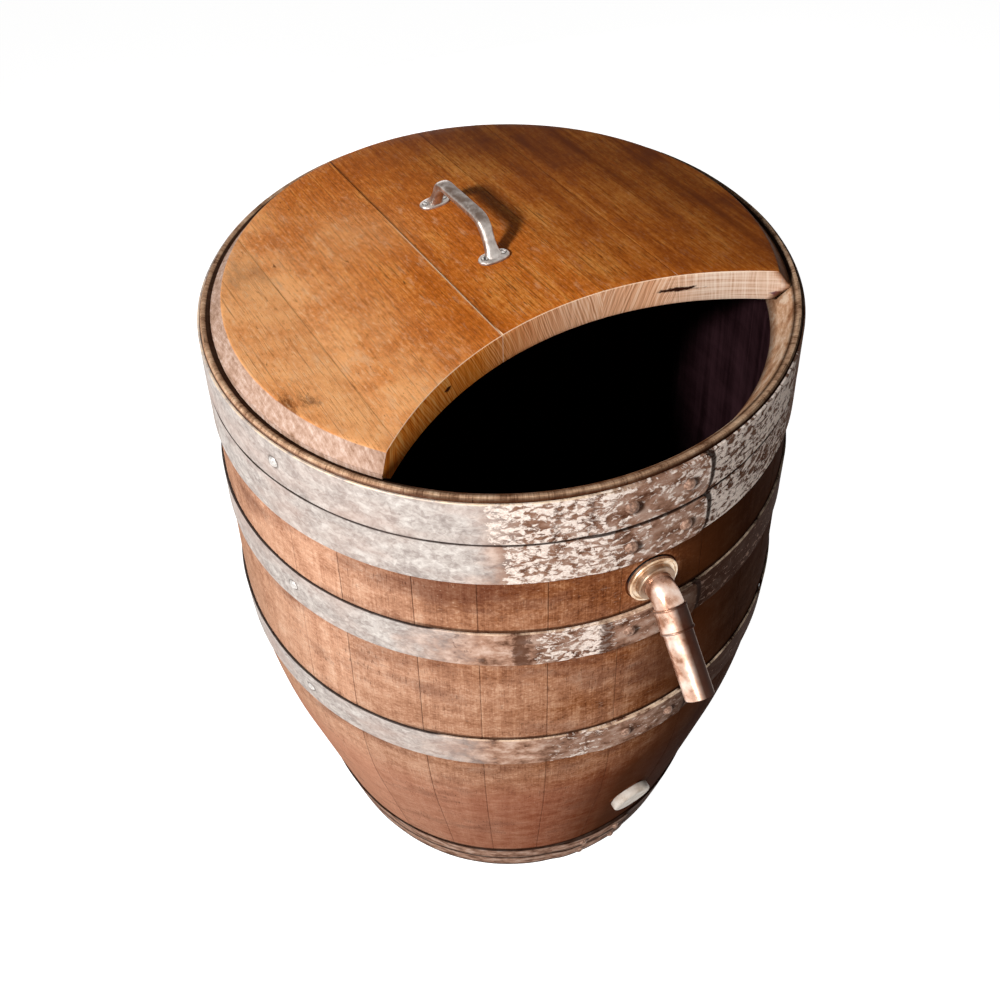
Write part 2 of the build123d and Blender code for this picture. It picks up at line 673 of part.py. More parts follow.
# Drain bung: a tapered plug with a round head
bung_foot = raised(bung_plane, BUNG_GAP)
with BuildPart() as bung:
    with BuildSketch(bung_foot):
        Circle(BUNG_HEAD_RADIUS)
    extrude(amount=BUNG_PROUD - BUNG_GAP)
    fillet(bung.edges().sort_by(Axis(bung_plane.origin, bung_plane.z_dir))[-1], BUNG_EDGE)
    with BuildSketch(bung_foot):
        Circle(BUNG_HOLE_RADIUS - BUNG_GAP)
    with BuildSketch(raised(bung_plane, -BUNG_DEPTH)):
        Circle(BUNG_HOLE_RADIUS - BUNG_GAP - BUNG_TAPER)
    loft()
write(bung.part, "bung")
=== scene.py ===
import math
from functools import partial

import bmesh
import bpy
import numpy as np
from mathutils import Matrix, Vector


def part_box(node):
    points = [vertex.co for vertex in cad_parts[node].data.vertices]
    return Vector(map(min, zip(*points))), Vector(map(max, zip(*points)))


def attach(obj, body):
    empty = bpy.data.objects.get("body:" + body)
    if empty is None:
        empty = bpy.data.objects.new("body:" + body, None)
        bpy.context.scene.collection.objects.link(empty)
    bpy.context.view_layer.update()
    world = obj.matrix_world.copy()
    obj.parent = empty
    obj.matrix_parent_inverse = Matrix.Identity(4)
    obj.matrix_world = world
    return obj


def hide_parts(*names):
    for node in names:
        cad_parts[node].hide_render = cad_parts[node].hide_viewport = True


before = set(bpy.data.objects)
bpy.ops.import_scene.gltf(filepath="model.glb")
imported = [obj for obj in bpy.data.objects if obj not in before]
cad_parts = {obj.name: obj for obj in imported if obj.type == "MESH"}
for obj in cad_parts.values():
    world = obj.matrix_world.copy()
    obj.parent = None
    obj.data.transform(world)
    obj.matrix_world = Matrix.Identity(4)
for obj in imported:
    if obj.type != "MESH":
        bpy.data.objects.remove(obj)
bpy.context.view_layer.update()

bl_info = {
    "name": "Water barrel",
    "version": (1, 0, 0),
    "blender": (4, 5, 0),
    "location": "3D View > Sidebar > Barrel",
    "description": "Dresses the water barrel: eased oak staves, worn zinc hoops, sawn lid, copper spout",
    "category": "Object",
}

MM = 0.001

# Shell of the barrel, as in the CAD
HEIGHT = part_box("stave_01")[1].z
RIM_RADIUS = 300 * MM
BILGE_RADIUS = 345 * MM
STRAIGHT = 320 * MM
WALL = 28 * MM
STAVE_WIDTHS = (64, 83, 66, 71, 76, 99, 83)
STAVE_ROUNDS = 4
FIRST_JOINT = -130.2
RIM_INNER = RIM_RADIUS - 8.5 * MM
CHIME_DEPTH = 36 * MM
CROZE = (40 * MM, 47 * MM)
CROZE_DEPTH = 5 * MM
HALF = HEIGHT / 2
END_SLOPE = 2 * (BILGE_RADIUS - RIM_RADIUS) / (HALF + STRAIGHT)
SAGITTA = BILGE_RADIUS - RIM_RADIUS - END_SLOPE * STRAIGHT
BELLY = ((HALF - STRAIGHT) ** 2 + SAGITTA**2) / (2 * SAGITTA)

# Wear of the staves; azimuths in degrees
RIM_WEAR = 3 * MM  # the top inside edge of a stave is worn back this far
RIM_WEAR_SLOPE = 1.45
END_ROUNDING = 1.6 * MM
END_ROWS = np.array([0, 0.5, 1.6, 3.05, 4.5, 12, 24, 36, 38, 40, 40.4, 46.6, 47.1, 52]) * MM  # from each end
MIDDLE_ROWS = (65 * MM, HEIGHT - 60 * MM, 16 * MM)  # first, last and step
STAVE_GAP = 0.15 * MM  # between two staves on the inside
STAVE_SHIFT = (1.37, 0.61)  # moves the grain of each stave on from the one before, in metres
SUNNY_SIDE = -150
SUNNY_FADE = (15, 85)  # degrees from there over which the bleaching ends
BROWN_TOP = (700 * MM, 760 * MM)  # heights over which the front stays browner
BROWN_START = (-112, -98)  # and the azimuths over which that sets in
RIM_GAP_SHADE_FADE = (-58, -38)  # azimuths over which the painted shade in the gap under the rim grows faint
SHELF_START = (-114, -100)  # azimuths over which the dark line on top of the hoops sets in
SHELF_ROWS = (2.4 * MM, 4 * MM)  # rows of points over each hoop, where that dark line ends
LEE_SHADE = ((0.6, -75, -53), (0.4, -58, -38))  # shares of the painted shade on the right side and the azimuths over which they set in
LEE_SHADE_END = (70, 20)
LEE_SHADE_TURN = 10  # at the foot the painted shade sets in this much further left
FOOT_WAX = (470 * MM, 360 * MM)  # heights over which the red wax of the foot sets in
SMEAR = (-97.0, 780 * MM, 9.0, 26 * MM)  # azimuth, height and half sizes of the dark stain in front
DRIP_LENGTH = 40 * MM  # under a hoop
LID_GAP = (-103.0, -6.0)  # azimuths between which the cut leaves the rim bare of the lid

# Hoops
HOOPS = (
    "bottom_chime_hoop",
    "bottom_neck_hoop",
    "bilge_hoop",
    "quarter_hoop",
    "top_neck_hoop",
    "top_chime_hoop",
)
FOOT_HOOPS = HOOPS[:2]  # brown with splashed soil, and dark along both edges
TOP_HOOP = HOOPS[-1]
FLAKE_STARTS = dict(zip(HOOPS, (-88, -90, -84, -86, -91, -93.5)))  # azimuths where the crust starts
FLAKED = dict(zip(HOOPS, (0.3, 0.3, 0.74, 0.96, 1.0, 1.0)))  # how much of it clings from there,
LAPPED = dict(zip(HOOPS, (0.3, 0.3, 0.66, 0.6, 0.84, 0.84)))  # over the lap
CRUSTED = dict(zip(HOOPS, (0.4, 0.4, 0.6, 0.74, 0.98, 1.0)))  # and past the lap
FLAKE_EDGE = 1.5  # half the degrees over which it starts
FLAKE_STOP = (-70, -76)  # azimuths over which the crust before the lap ends,
LAPPED_START = (-78, -70)  # that of the lap starts
LAPPED_STOP = (-53, -55)  # and ends,
CRUSTED_START = (-55.5, -53.5)  # and that past the lap starts
CRUSTED_STOP = (-12, -32)  # and ends
SOILED = dict(zip(HOOPS, (0.75, 0.7, 0.3, 0.42, 0.06, 0.0)))  # the lower hoops are browner in front
SOIL_START = -128  # azimuth where that sets in,
FOOT_SOIL_START = -170  # on the foot hoops,
SOIL_FADE = 33  # over so many degrees
SOIL_STOP = (150, 50)  # and azimuths over which it ends
LEE_SHADE_DEPTH = dict(zip(HOOPS, (0.9, 0.95, 1.0, 1.0, 0.3, 0.2)))  # how dark the painted shade leaves them on the right side
LEE_SHADE_STARTS = dict(zip(HOOPS, 4 * [(-66, -52)] + 2 * [(-38, -18)]))  # azimuths over which it sets in
LEE_SHADE_STOP = (60, 10)  # and ends
SMUDGES = {  # azimuth and strength of the dark stains
    "quarter_hoop": ((-98, 0.5), (-87.6, 1.3), (-73, 1.0)),
    "top_chime_hoop": ((-82, 0.6), (-76.5, 0.7)),
}
SMUDGE_SPREAD = 1.6
EDGE_HIGHLIGHT = {"quarter_hoop": 0.7, "bilge_hoop": 0.8}  # how bright the painted highlight along the upper edge is in front
EDGE_HIGHLIGHT_START = (-106, -94)  # azimuths over which that sets in
EDGE_HIGHLIGHT_STOP = (-8, -30)  # and ends
TOP_EDGE_HIGHLIGHT_STOP = (-64, -80)  # the same for the top hoop, whose painted highlight runs all round the left
RUSTY_SIDE = -40
RUST_START = (-62, -40)  # degrees from there over which the rust sets in
RUST_STOP = (110, 45)  # and ends
HOOP_GAP = 0.3 * MM
HOOP_THICKNESS = 2 * MM
HOOP_STEPS = 241
HOOP_SEAM = 8  # the band's own seam is this many degrees back, under the lap
HOOP_SHIFT = 7  # moves the zinc of each hoop on by this many of its heights
DENT = 0.16 * MM
LAP_AZIMUTH = -54.6
LAP_LENGTH = 104 * MM
LAP_RAMP = 26 * MM
LAP_INSET = 0.6 * MM
LAP_NOSE = 8 * MM  # the end of the lap is an arc this deep
LAP_BOW = 0.8  # share of the width that the arc takes in
LAP_SINK = 0.02  # share of its thickness that the lap lies in the band
LAP_SHIFT = 5  # moves the zinc of the lap away from the band's, in metres
LAP_SHADOW = (2.8 * MM, 4.6 * MM, 3 * MM)  # middle of the painted shadow by the lap's end, then where it ends and is full
RIVETS = (25 * MM, 81 * MM)  # from the end of the lap
RIVET_HEAD = (6.5 * MM, 4.8 * MM, 3 * MM, 3.6 * MM)  # radius and height, then of the shank
RIVET_SINK = 0.2 * MM
RIVET_SHADOW = (4 * MM, 2 * MM, 9 * MM, 6 * MM)  # right of and below the rivet, then its end and full radius
NAIL_HEAD = (5.4 * MM, 2.4 * MM, 1.8 * MM, 19 * MM)
NAIL_SINK = 0.1 * MM
NAIL_SHADOW = (8 * MM, 6.2 * MM)
NAIL_AZIMUTH = -131.3
NAILED = ("bilge_hoop", "quarter_hoop", "top_chime_hoop")

# Lid, in the directions along and across its boards
BOARD_AZIMUTH = -58.0
LID_RADIUS = 289.3 * MM
LID_NOSE = 5 * MM
LID_LAND = 1.5 * MM
LID_BEVEL = 12.5 * MM
LID_JOINTS = (-205 * MM, -59 * MM, 57 * MM, 132 * MM)
LID_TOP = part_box("lid_board_2")[1].z
LID_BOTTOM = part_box("lid_board_2")[0].z
BOARD_ROWS = 26
BOARD_COLUMNS = 28
BOARD_SHIFT = (0.83, 0.29)  # moves the grain of each board on from the one before, in metres
JOINT_MARGIN = np.array([0, 0.5, 1.2, 3]) * MM
CUT_DISTANCE = 445 * MM
CUT_RADIUS = 352 * MM
JOINT_SHOWS = {-59: 1.0, -205: 0.35, 57: 0.4, 132: 0.3}  # how plain each lid joint is
OUTER_JOINT = 0.35  # and the outline of the lid
BEVEL_PALE_SIDE = -165
BEVEL_FADE = (45, 80)  # degrees from there over which the pale bevel ends
LID_SHADE = (-20 * MM, 260 * MM)  # distances to the right back over which painted shade darkens the lid
LID_SHADE_BACK = (0, 160 * MM)  # more so at the back
LID_SHADE_RIM = (120 * MM, 260 * MM)  # and by the rim
LID_WEAR_AND_LIGHT = (70 * MM, 200 * MM)  # distances to the left front over which wear and painted light make it paler
LID_FRONT = (-150 * MM, -60 * MM)  # distances along the boards over which the front starts
LID_SMIRCHES = (  # place, size and strength of the soil by the bevel
    (-183 * MM, -202 * MM, 22 * MM, 0.8),
    (-252 * MM, -20 * MM, 32 * MM, 0.35),
)
SMIRCH_RAGGED = 0.16  # how far the noise eats into that soil, in metres
LID_SCUFF = (-165 * MM, 42 * MM, 62 * MM)  # place and size of the scuffed patch
CUT_CHANGES = ((-90 * MM, 20 * MM), (110 * MM, 160 * MM))  # where the sawn face turns tan, then pale
CUT_MARKS = (  # across the boards, height, half sizes and stain of the flaws in the sawn face
    ((134 * MM, 898.5 * MM, 25 * MM, 3 * MM), "#2b120a"),
    ((-131 * MM, 900 * MM, 5.5 * MM, 3.5 * MM), "#3a1a0b"),
    ((222 * MM, 888.5 * MM, 7 * MM, 4.5 * MM), "#6a4a55"),
)

# Handle on the lid
HANDLE_CENTRE = -66.5 * MM
HANDLE_SIDE = -2.5 * MM
HANDLE_LEG = 119.5 / 2 * MM
HANDLE_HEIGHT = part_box("handle")[1].z - LID_TOP
HANDLE_SECTION = (14.4 * MM, 10.6 * MM)
HANDLE_LEAN = 20 * MM
HANDLE_BEND = 19 * MM
HANDLE_POWER = 2.6
HANDLE_STEPS = 40
HANDLE_WAIST = (16 * MM, 11 * MM)  # height and spread of the slightly thinner part of a leg
FOOT_SIZE = (9.2 * MM, 17.4 * MM, 3.5 * MM)
FOOT_POWER = 2.4
FOOT_STEPS = 64
FOOT_RINGS = ((1.0, 0.0), (1.0, 0.45), (0.97, 0.72), (0.9, 0.92), (0.78, 1.0), (0.4, 1.06), (0.0, 1.1))
SCREW_SIDE = 10.7 * MM
SCREW_HEAD = (4.2 * MM, 2.4 * MM)
SCREW_STEPS = 48
SCREW_RINGS = np.array([1.0, 0.97, 0.88, 0.76, 0.62, 0.5, 0.38, 0.26, 0.14, 0.0])
SCREW_SLOT = 0.9 * MM  # depth

# Overflow spout and drain bung
SPOUT = (-64.7, 767.5 * MM)  # azimuth and height on the wall
SPOUT_TURN = -3.0
SEAT = (27.5 * MM, 2 * MM)  # radius and depth of the flat in the stave
TAIL = (16.6 * MM, 40 * MM)  # radius and length
TAIL_HOLE = 16.75 * MM
PIPE_RADIUS = 14 * MM
PIPE_BORE = 12.7 * MM
PIPE_SOCKET = 14.15 * MM
ELBOW_RADIUS = 28 * MM
ELBOW_ANGLE = 45.0
COLLAR_HEIGHT = 10 * MM
SOCKET_DEPTH = 7 * MM
ELBOW_STUB = 0.5 * MM
SLEEVE_LENGTH = 24 * MM
SPOUT_TUBE = 63 * MM
BEAD_EDGE = (15.6 * MM, 16.1 * MM)  # radii over which the tarnish of the beads sets in
COLLAR_SHADE = (20.4 * MM, 19.3 * MM)  # and the painted shade on the collar, under the elbow
BUNG = (-60.5, 252 * MM)
BUNG_HOLE = 24.5 * MM

# Camera, solved from the photograph's rim and hoops
CAMERA_PLACE = (0.0, -0.7494, 1.4430)
CAMERA_PITCH = 50.34  # degrees below the horizon
CAMERA_YAW = -0.44
CAMERA_ROLL = -1.44
CAMERA_LENS = 31.78
CAMERA_SENSOR = 36
CAMERA_NEAREST = 0.05

# Stage
FLOOR_SIZE = 30.0
FLOOR_GLOW = 0.93
LAMPS = (  # name of its power setting, place, height that it points at and width
    ("key", (-0.98, -1.16, 1.85), 0.75, 0.22),
    ("front", (0.1, -1.85, 1.1), 0.55, 0.7),
    ("back", (-0.7, 2.3, 0.75), 0.45, 1.5),
    ("side", (2.1, 0.7, 0.9), 0.45, 1.2),
)


def linear(code):
    """Scene-linear colour, with alpha, of an sRGB hex code."""
    values = np.array([int(code[i : i + 2], 16) for i in (1, 3, 5)]) / 255
    values = np.where(values <= 0.04045, values / 12.92, ((values + 0.055) / 1.055) ** 2.4)
    return (*values.tolist(), 1.0)


def per(size_mm):
    """How many times a pattern of this size in millimetres repeats in a metre."""
    return 1000 / size_mm


def step(low, high, value):
    """Smooth step from 0 at low to 1 at high."""
    t = np.clip((np.asarray(value, float) - low) / (high - low), 0, 1)
    return t * t * (3 - 2 * t)


def wrapped(degrees):
    """The same angles between -180 and 180 degrees."""
    return (np.asarray(degrees) + 180) % 360 - 180


def turned(steps):
    """Angles of this many even steps round a circle."""
    return np.linspace(0, 2 * math.pi, steps, endpoint=False)


def quarter_round(share):
    """Depth of a quarter circle: 1 on its edge and 0 from one radius inwards."""
    return 1 - np.sqrt(np.clip(1 - (1 - np.clip(share, 0, 1)) ** 2, 0, 1))


def superellipse(steps, a, b, power):
    """Points of |x/a|^n + |y/b|^n = 1: a |cos t|^(2/n) and b |sin t|^(2/n), with the signs of cos and sin."""
    x, y = np.cos(turned(steps)), np.sin(turned(steps))
    return tuple(size * np.sign(v) * np.abs(v) ** (2 / power) for size, v in ((a, x), (b, y)))


def outer_radius(z):
    """Outside radius of the shell: a straight cone at each end and a circular arc between them."""
    z = np.asarray(z, float)
    from_end = np.minimum(z, HEIGHT - z)
    arc = BILGE_RADIUS - BELLY + np.sqrt(np.maximum(BELLY**2 - (z - HALF) ** 2, 0))
    return np.where(from_end < STRAIGHT, RIM_RADIUS + END_SLOPE * from_end, arc)


def inner_radius(z):
    """Inside radius of the shell, with the bevelled chime, its worn top edge and the groove near each end."""
    z = np.asarray(z, float)
    from_end = np.minimum(z, HEIGHT - z)
    plain = outer_radius(z) - WALL
    at_chime = RIM_RADIUS + END_SLOPE * CHIME_DEPTH - WALL
    bevel = RIM_INNER + (at_chime - RIM_INNER) * from_end / CHIME_DEPTH
    worn = RIM_INNER + RIM_WEAR - RIM_WEAR_SLOPE * from_end
    groove = (from_end > CROZE[0]) & (from_end < CROZE[1])
    return np.where(from_end < CHIME_DEPTH, np.maximum(bevel, worn), plain + CROZE_DEPTH * groove)


def wall_frame(azimuth, z):
    """Point on the outside of the shell, and its tangent, up-the-stave and outward directions."""
    a = math.radians(azimuth)
    slope = float(outer_radius(z + MM) - outer_radius(z - MM)) / (2 * MM)
    outward = np.array([math.cos(a), math.sin(a), -slope])
    outward /= np.linalg.norm(outward)
    tangent = np.array([-math.sin(a), math.cos(a), 0])
    radius = float(outer_radius(z))
    place = np.array([radius * math.cos(a), radius * math.sin(a), z])
    return place, (tangent, np.cross(outward, tangent), outward)


def board_point(along, across, z):
    """Points in the shared frame from distances along and across the lid's boards, and heights."""
    a = math.radians(BOARD_AZIMUTH)
    along, across, z = np.broadcast_arrays(along, across, z)
    x = along * math.cos(a) - across * math.sin(a)
    y = along * math.sin(a) + across * math.cos(a)
    return np.stack([x, y, z], -1)


def grid_faces(rows, columns, wrap_rows=False, wrap_columns=False):
    """Quads of a grid whose point (i, j) has the number i * columns + j."""
    i = np.arange(rows if wrap_rows else rows - 1)
    j = np.arange(columns if wrap_columns else columns - 1)
    i, j = np.meshgrid(i, j, indexing="ij")
    after, beside = (i + 1) % rows, (j + 1) % columns
    corners = (i * columns + j, i * columns + beside, after * columns + beside, after * columns + j)
    return np.stack(corners, -1).reshape(-1, 4)


def capped(rows, columns, ends=(True, True)):
    """Faces of a grid whose rows close on themselves, with its first and last row filled."""
    last = (rows - 1) * columns
    caps = zip((range(columns), range(last, last + columns)), ends)
    return grid_faces(rows, columns, wrap_columns=True).tolist() + [list(cap) for cap, end in caps if end]


def spread(extras, shape):
    """Values of every point of a grid from single values, rows, columns or grids; uv stays in pairs."""
    shapes = {name: (*shape, 2) if name == "uv" else shape for name in extras}
    full = {name: np.broadcast_to(np.asarray(values, float), shapes[name]) for name, values in extras.items()}
    return {name: values.reshape(-1, *shapes[name][2:]) for name, values in full.items()}


def shell(parts):
    """Joins (points, faces, extras) surfaces into one set of points, faces and per-point extras."""
    points, faces, extras, start = [], [], {}, 0
    for part_points, part_faces, part_extras in parts:
        points.append(part_points)
        faces += [[int(v) + start for v in face] for face in part_faces]
        for name, values in part_extras.items():
            extras.setdefault(name, []).append(values)
        start += len(part_points)
    return np.concatenate(points), faces, {name: np.concatenate(v) for name, v in extras.items()}


def linked(name, data):
    """A new object in the scene, at the origin, for a mesh, a lamp or a camera."""
    made = bpy.data.objects.new(name, data)
    bpy.context.scene.collection.objects.link(made)
    return made


def make_piece(name, surface, material, body, slot, *nodes, sharp=40.0):
    """Puts a closed surface into a mesh, joins its seams and poles and stands it in for CAD nodes.

    An extra called uv becomes the piece's UV map, and every other one a float on its points.
    """
    points, faces, extras = surface
    mesh = bpy.data.meshes.new(name)
    mesh.from_pydata(points.tolist(), [], [list(face) for face in faces])
    for key, values in extras.items():
        if key == "uv":
            corners = np.empty(len(mesh.loops), np.int32)
            mesh.loops.foreach_get("vertex_index", corners)
            layer = mesh.uv_layers.new(name="surface")
            layer.data.foreach_set("uv", values[corners].astype(np.float32).ravel())
        else:
            layer = mesh.attributes.new(key, "FLOAT", "POINT")
            layer.data.foreach_set("value", values.astype(np.float32).ravel())
    joined = bmesh.new()
    joined.from_mesh(mesh)
    bmesh.ops.remove_doubles(joined, verts=joined.verts, dist=1e-6)
    bmesh.ops.dissolve_degenerate(joined, edges=joined.edges, dist=1e-7)
    bmesh.ops.recalc_face_normals(joined, faces=joined.faces)
    joined.to_mesh(mesh)
    joined.free()
    mesh.polygons.foreach_set("use_smooth", np.ones(len(mesh.polygons), bool))
    mesh.set_sharp_from_angle(angle=math.radians(sharp))
    mesh.materials.append(finish(material))
    piece = linked(name, mesh)
    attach(piece, body)
    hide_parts(*nodes)
    return piece


def lathe(profile, place, axes, steps=64, closed=True):
    """Turns a profile of (radius, height) points about an axis.

    Point (i, j) is place + r_i (cos t_j X + sin t_j Y) + h_i Z for the frame's X, Y and Z; a closed
    profile joins its last point to its first, and an open one ends on the axis.
    """
    profile = np.asarray(profile, float)
    x, y, z = (np.asarray(axis, float) for axis in axes)
    turn = turned(steps)
    ring = np.cos(turn)[:, None] * x + np.sin(turn)[:, None] * y
    points = np.asarray(place) + profile[:, None, :1] * ring + profile[:, None, 1:] * z
    faces = grid_faces(len(profile), steps, wrap_rows=closed, wrap_columns=True)
    return points.reshape(-1, 3), faces, {}


def in_mm(*points):
    """Profile points given in millimetres."""
    return [(x * MM, y * MM) for x, y in points]


def round_corner(centre, radius, start, end, count=6):
    """Points of an arc in a profile, from one angle in degrees to another; sizes in millimetres."""
    t = np.radians(np.linspace(start, end, count))
    return in_mm(*np.stack([centre[0] + radius * np.cos(t), centre[1] + radius * np.sin(t)], -1).tolist())


def tube(path, side, radius, bore, steps=64):
    """Pipe wall along a path in a plane: circles square to the path, outside out and inside back.

    The circle at a path point p with tangent T is p + r (cos t S + sin t S x T) for the side S.
    """
    path = np.asarray(path, float)
    tangent = np.gradient(path, axis=0)
    tangent /= np.linalg.norm(tangent, axis=1, keepdims=True)
    across = np.cross(side, tangent)
    turn = turned(steps)
    ring = np.cos(turn)[None, :, None] * side + np.sin(turn)[None, :, None] * across[:, None, :]
    outside = path[:, None] + radius * ring
    inside = (path[:, None] + bore * ring)[::-1]
    points = np.concatenate([outside, inside])
    marks = {"around": np.sin(turn), "side": np.cos(turn), "joint": 0.0}
    faces = grid_faces(len(points), steps, True, True)
    return points.reshape(-1, 3), faces, spread(marks, points.shape[:2])


def add_node(tree, kind, *values, out=0, stops=None, **settings):
    """Adds one node to a tree and gives one of its outputs.

    Values fill its inputs in order. Each setting is an input's name or else one of its properties. A value
    that is another node's output is linked, and a hex code is a colour. A Mix node mixes colours.
    """
    made = tree.nodes.new("ShaderNode" + kind)
    for name in [name for name in settings if hasattr(made, name)]:
        setattr(made, name, settings.pop(name))
    if stops:
        ramp = made.color_ramp.elements
        while len(ramp) < len(stops):
            ramp.new(1)
        for element, (place, colour) in zip(ramp, stops):
            element.position = place
            element.color = linear(colour)
    order = range(len(made.inputs))
    if kind == "Mix":
        made.data_type = "RGBA"
        order, out = (0, 6, 7), 2
    for key, value in [*zip(order, values), *settings.items()]:
        if isinstance(value, bpy.types.NodeSocket):
            tree.links.new(value, made.inputs[key])
        else:
            made.inputs[key].default_value = linear(value) if isinstance(value, str) else value
    return made.outputs[out] if made.outputs else None


NOISE = ("Detail", "Roughness", "Distortion")  # what the noise tables give after a size in millimetres


def new_material(name, colour):
    """Empty node material, whose flat colour is only for the viewport, and what adds its nodes."""
    material = bpy.data.materials.new(name)
    material.use_nodes = True
    material.node_tree.nodes.clear()
    material.diffuse_color = colour
    return material, partial(add_node, material.node_tree)


def stretched(put, vector, *sizes_mm):
    """Pattern space whose unit cell has these sizes in millimetres."""
    return put("VectorMath", vector, tuple(per(size) for size in sizes_mm), operation="MULTIPLY")


def summed(put, *shares, base=None):
    """Sum of (value, weight) pairs, over a base where there is one."""
    for value, weight in shares:
        if base is None:
            base = put("Math", value, weight, operation="MULTIPLY")
        else:
            base = put("Math", value, weight, base, operation="MULTIPLY_ADD")
    return base


def layered(put, colour, *layers):
    """Lays colours over a first one; a layer is its share, its colour and, where it has one, its strength."""
    for share, over, *strength in layers:
        if strength:
            share = put("Math", share, *strength, operation="MULTIPLY")
        colour = put("Mix", share, colour, over)
    return colour


def finish_surface(put, height, depth_mm, colour, rough, metal=0.0, gloss=0.5):
    """Ends a material: a bump of this depth and the surface shader with its output."""
    normal = put("Bump", Height=height, Distance=depth_mm * MM, Strength=1.0)
    look = {"Base Color": colour, "Roughness": rough, "Metallic": metal, "Specular IOR Level": gloss}
    put("OutputMaterial", put("BsdfPrincipled", Normal=normal, **look))


def weathered_oak(put):
    """Bent oak staves: grain up the stave, scrubbed pale on the weather side, darkened towards the right by
    painted shade.
    """
    wood = put("UVMap", uv_map="surface")
    place = put("TexCoord", out=3)
    weather, lee, low, joint, inside, end, chime, tone, drip, smear = (
        put("Attribute", attribute_name=name, out=2)
        for name in "weather lee low joint inside end chime tone drip smear".split()
    )
    # Oak fibres and pores are about 0.3 mm wide, too fine to show, and are drawn 1.6 to 1.7 mm wide
    streak, fibre, rub, grit, tick, blotch, patch = (
        put("TexNoise", stretched(put, space, *size), Scale=1.0, **dict(zip(NOISE, values)))
        for space, size, *values in (
            (wood, (15, 420, 1), 4, 0.6),
            (wood, (1.7, 46, 1), 4, 0.68),
            (wood, (11, 1.7, 1), 4, 0.7),
            (wood, (4, 3, 1), 4, 0.74),
            (wood, (1.6, 13, 1), 2, 0.5),
            (place, (110, 110, 55), 7, 0.66),
            (place, (26, 26, 15), 7, 0.74),
        )
    )

    grain = summed(put, (streak, 0.22), (fibre, 0.18), (grit, 0.3), (patch, 0.3))
    dark = put("ValToRGB", grain, stops=[(0.41, "#542a17"), (0.5, "#87502f"), (0.59, "#b17c57")])
    pale = put("ValToRGB", grain, stops=[(0.4, "#9d6c52"), (0.5, "#c79679"), (0.6, "#deb69b")])
    worn = summed(put, (patch, 1.1), (blotch, 1.3), (drip, -0.18), base=weather)
    worn = put("MapRange", worn, 1.0, 2.1)
    waxed = put("ValToRGB", worn, stops=[(0.0, "#85361c"), (1.0, "#c4866b")])
    stain = summed(put, (drip, 0.1), (smear, 0.26), base=blotch)
    scratch = summed(put, (put("MapRange", rub, 0.55, 0.64), put("MapRange", patch, 0.53, 0.63)))
    chalk = summed(put, (put("MapRange", rub, 0.45, 0.34), put("MapRange", patch, 0.48, 0.37)))
    colour = layered(
        put,
        dark,
        (worn, pale),
        (low, waxed, 0.6),
        (put("MapRange", stain, 0.53, 0.7, 0.0, 0.6), "#54261a"),
        (scratch, "#38190f", 0.5),
        (chalk, "#dcb89d", 0.42),
        (put("MapRange", tick, 0.6, 0.67), "#3d1c10", put("MapRange", blotch, 0.44, 0.6, 0.1, 0.6)),
        (put("MapRange", grit, 0.63, 0.72, 0.0, 0.5), "#e6c8b0"),
    )
    shade = put("MapRange", tone, 0.0, 1.0, 0.95, 1.05)
    colour = put("VectorMath", colour, Scale=shade, operation="SCALE")
    # Painted shade: the staves darken towards the right, to near black
    lee_shade_colour = put("ValToRGB", lee, stops=[(0.55, "#48240f"), (1.0, "#1e0a03")])
    chipped = summed(put, (patch, 0.6), (fibre, 0.4))
    rim = put("ValToRGB", chipped, stops=[(0.4, "#664632"), (0.5, "#b08b6e"), (0.6, "#d8b899")])
    tan = put("ValToRGB", patch, stops=[(0.36, "#97694a"), (0.5, "#cc9f7c"), (0.62, "#ead0b6")])
    wine = summed(put, (blotch, 0.5), (streak, 0.5))
    wine = put("ValToRGB", wine, stops=[(0.4, "#1f1013"), (0.62, "#3d262b")])
    colour = layered(
        put,
        colour,
        (put("MapRange", lee, 0.0, 0.6), lee_shade_colour, put("MapRange", blotch, 0.3, 0.7, 0.98, 0.9)),
        (end, rim),
        (chime, tan),
        # dark seams and lines, with painted shade under the rim and where the lid sits
        (joint, "#1f0f09", 0.9),
        (inside, wine),
    )
    rough = put("MapRange", grain, 0.3, 0.7, 0.85, 0.65)
    finish_surface(put, summed(put, (scratch, -0.5), base=grain), 0.35, colour, rough, gloss=0.004)


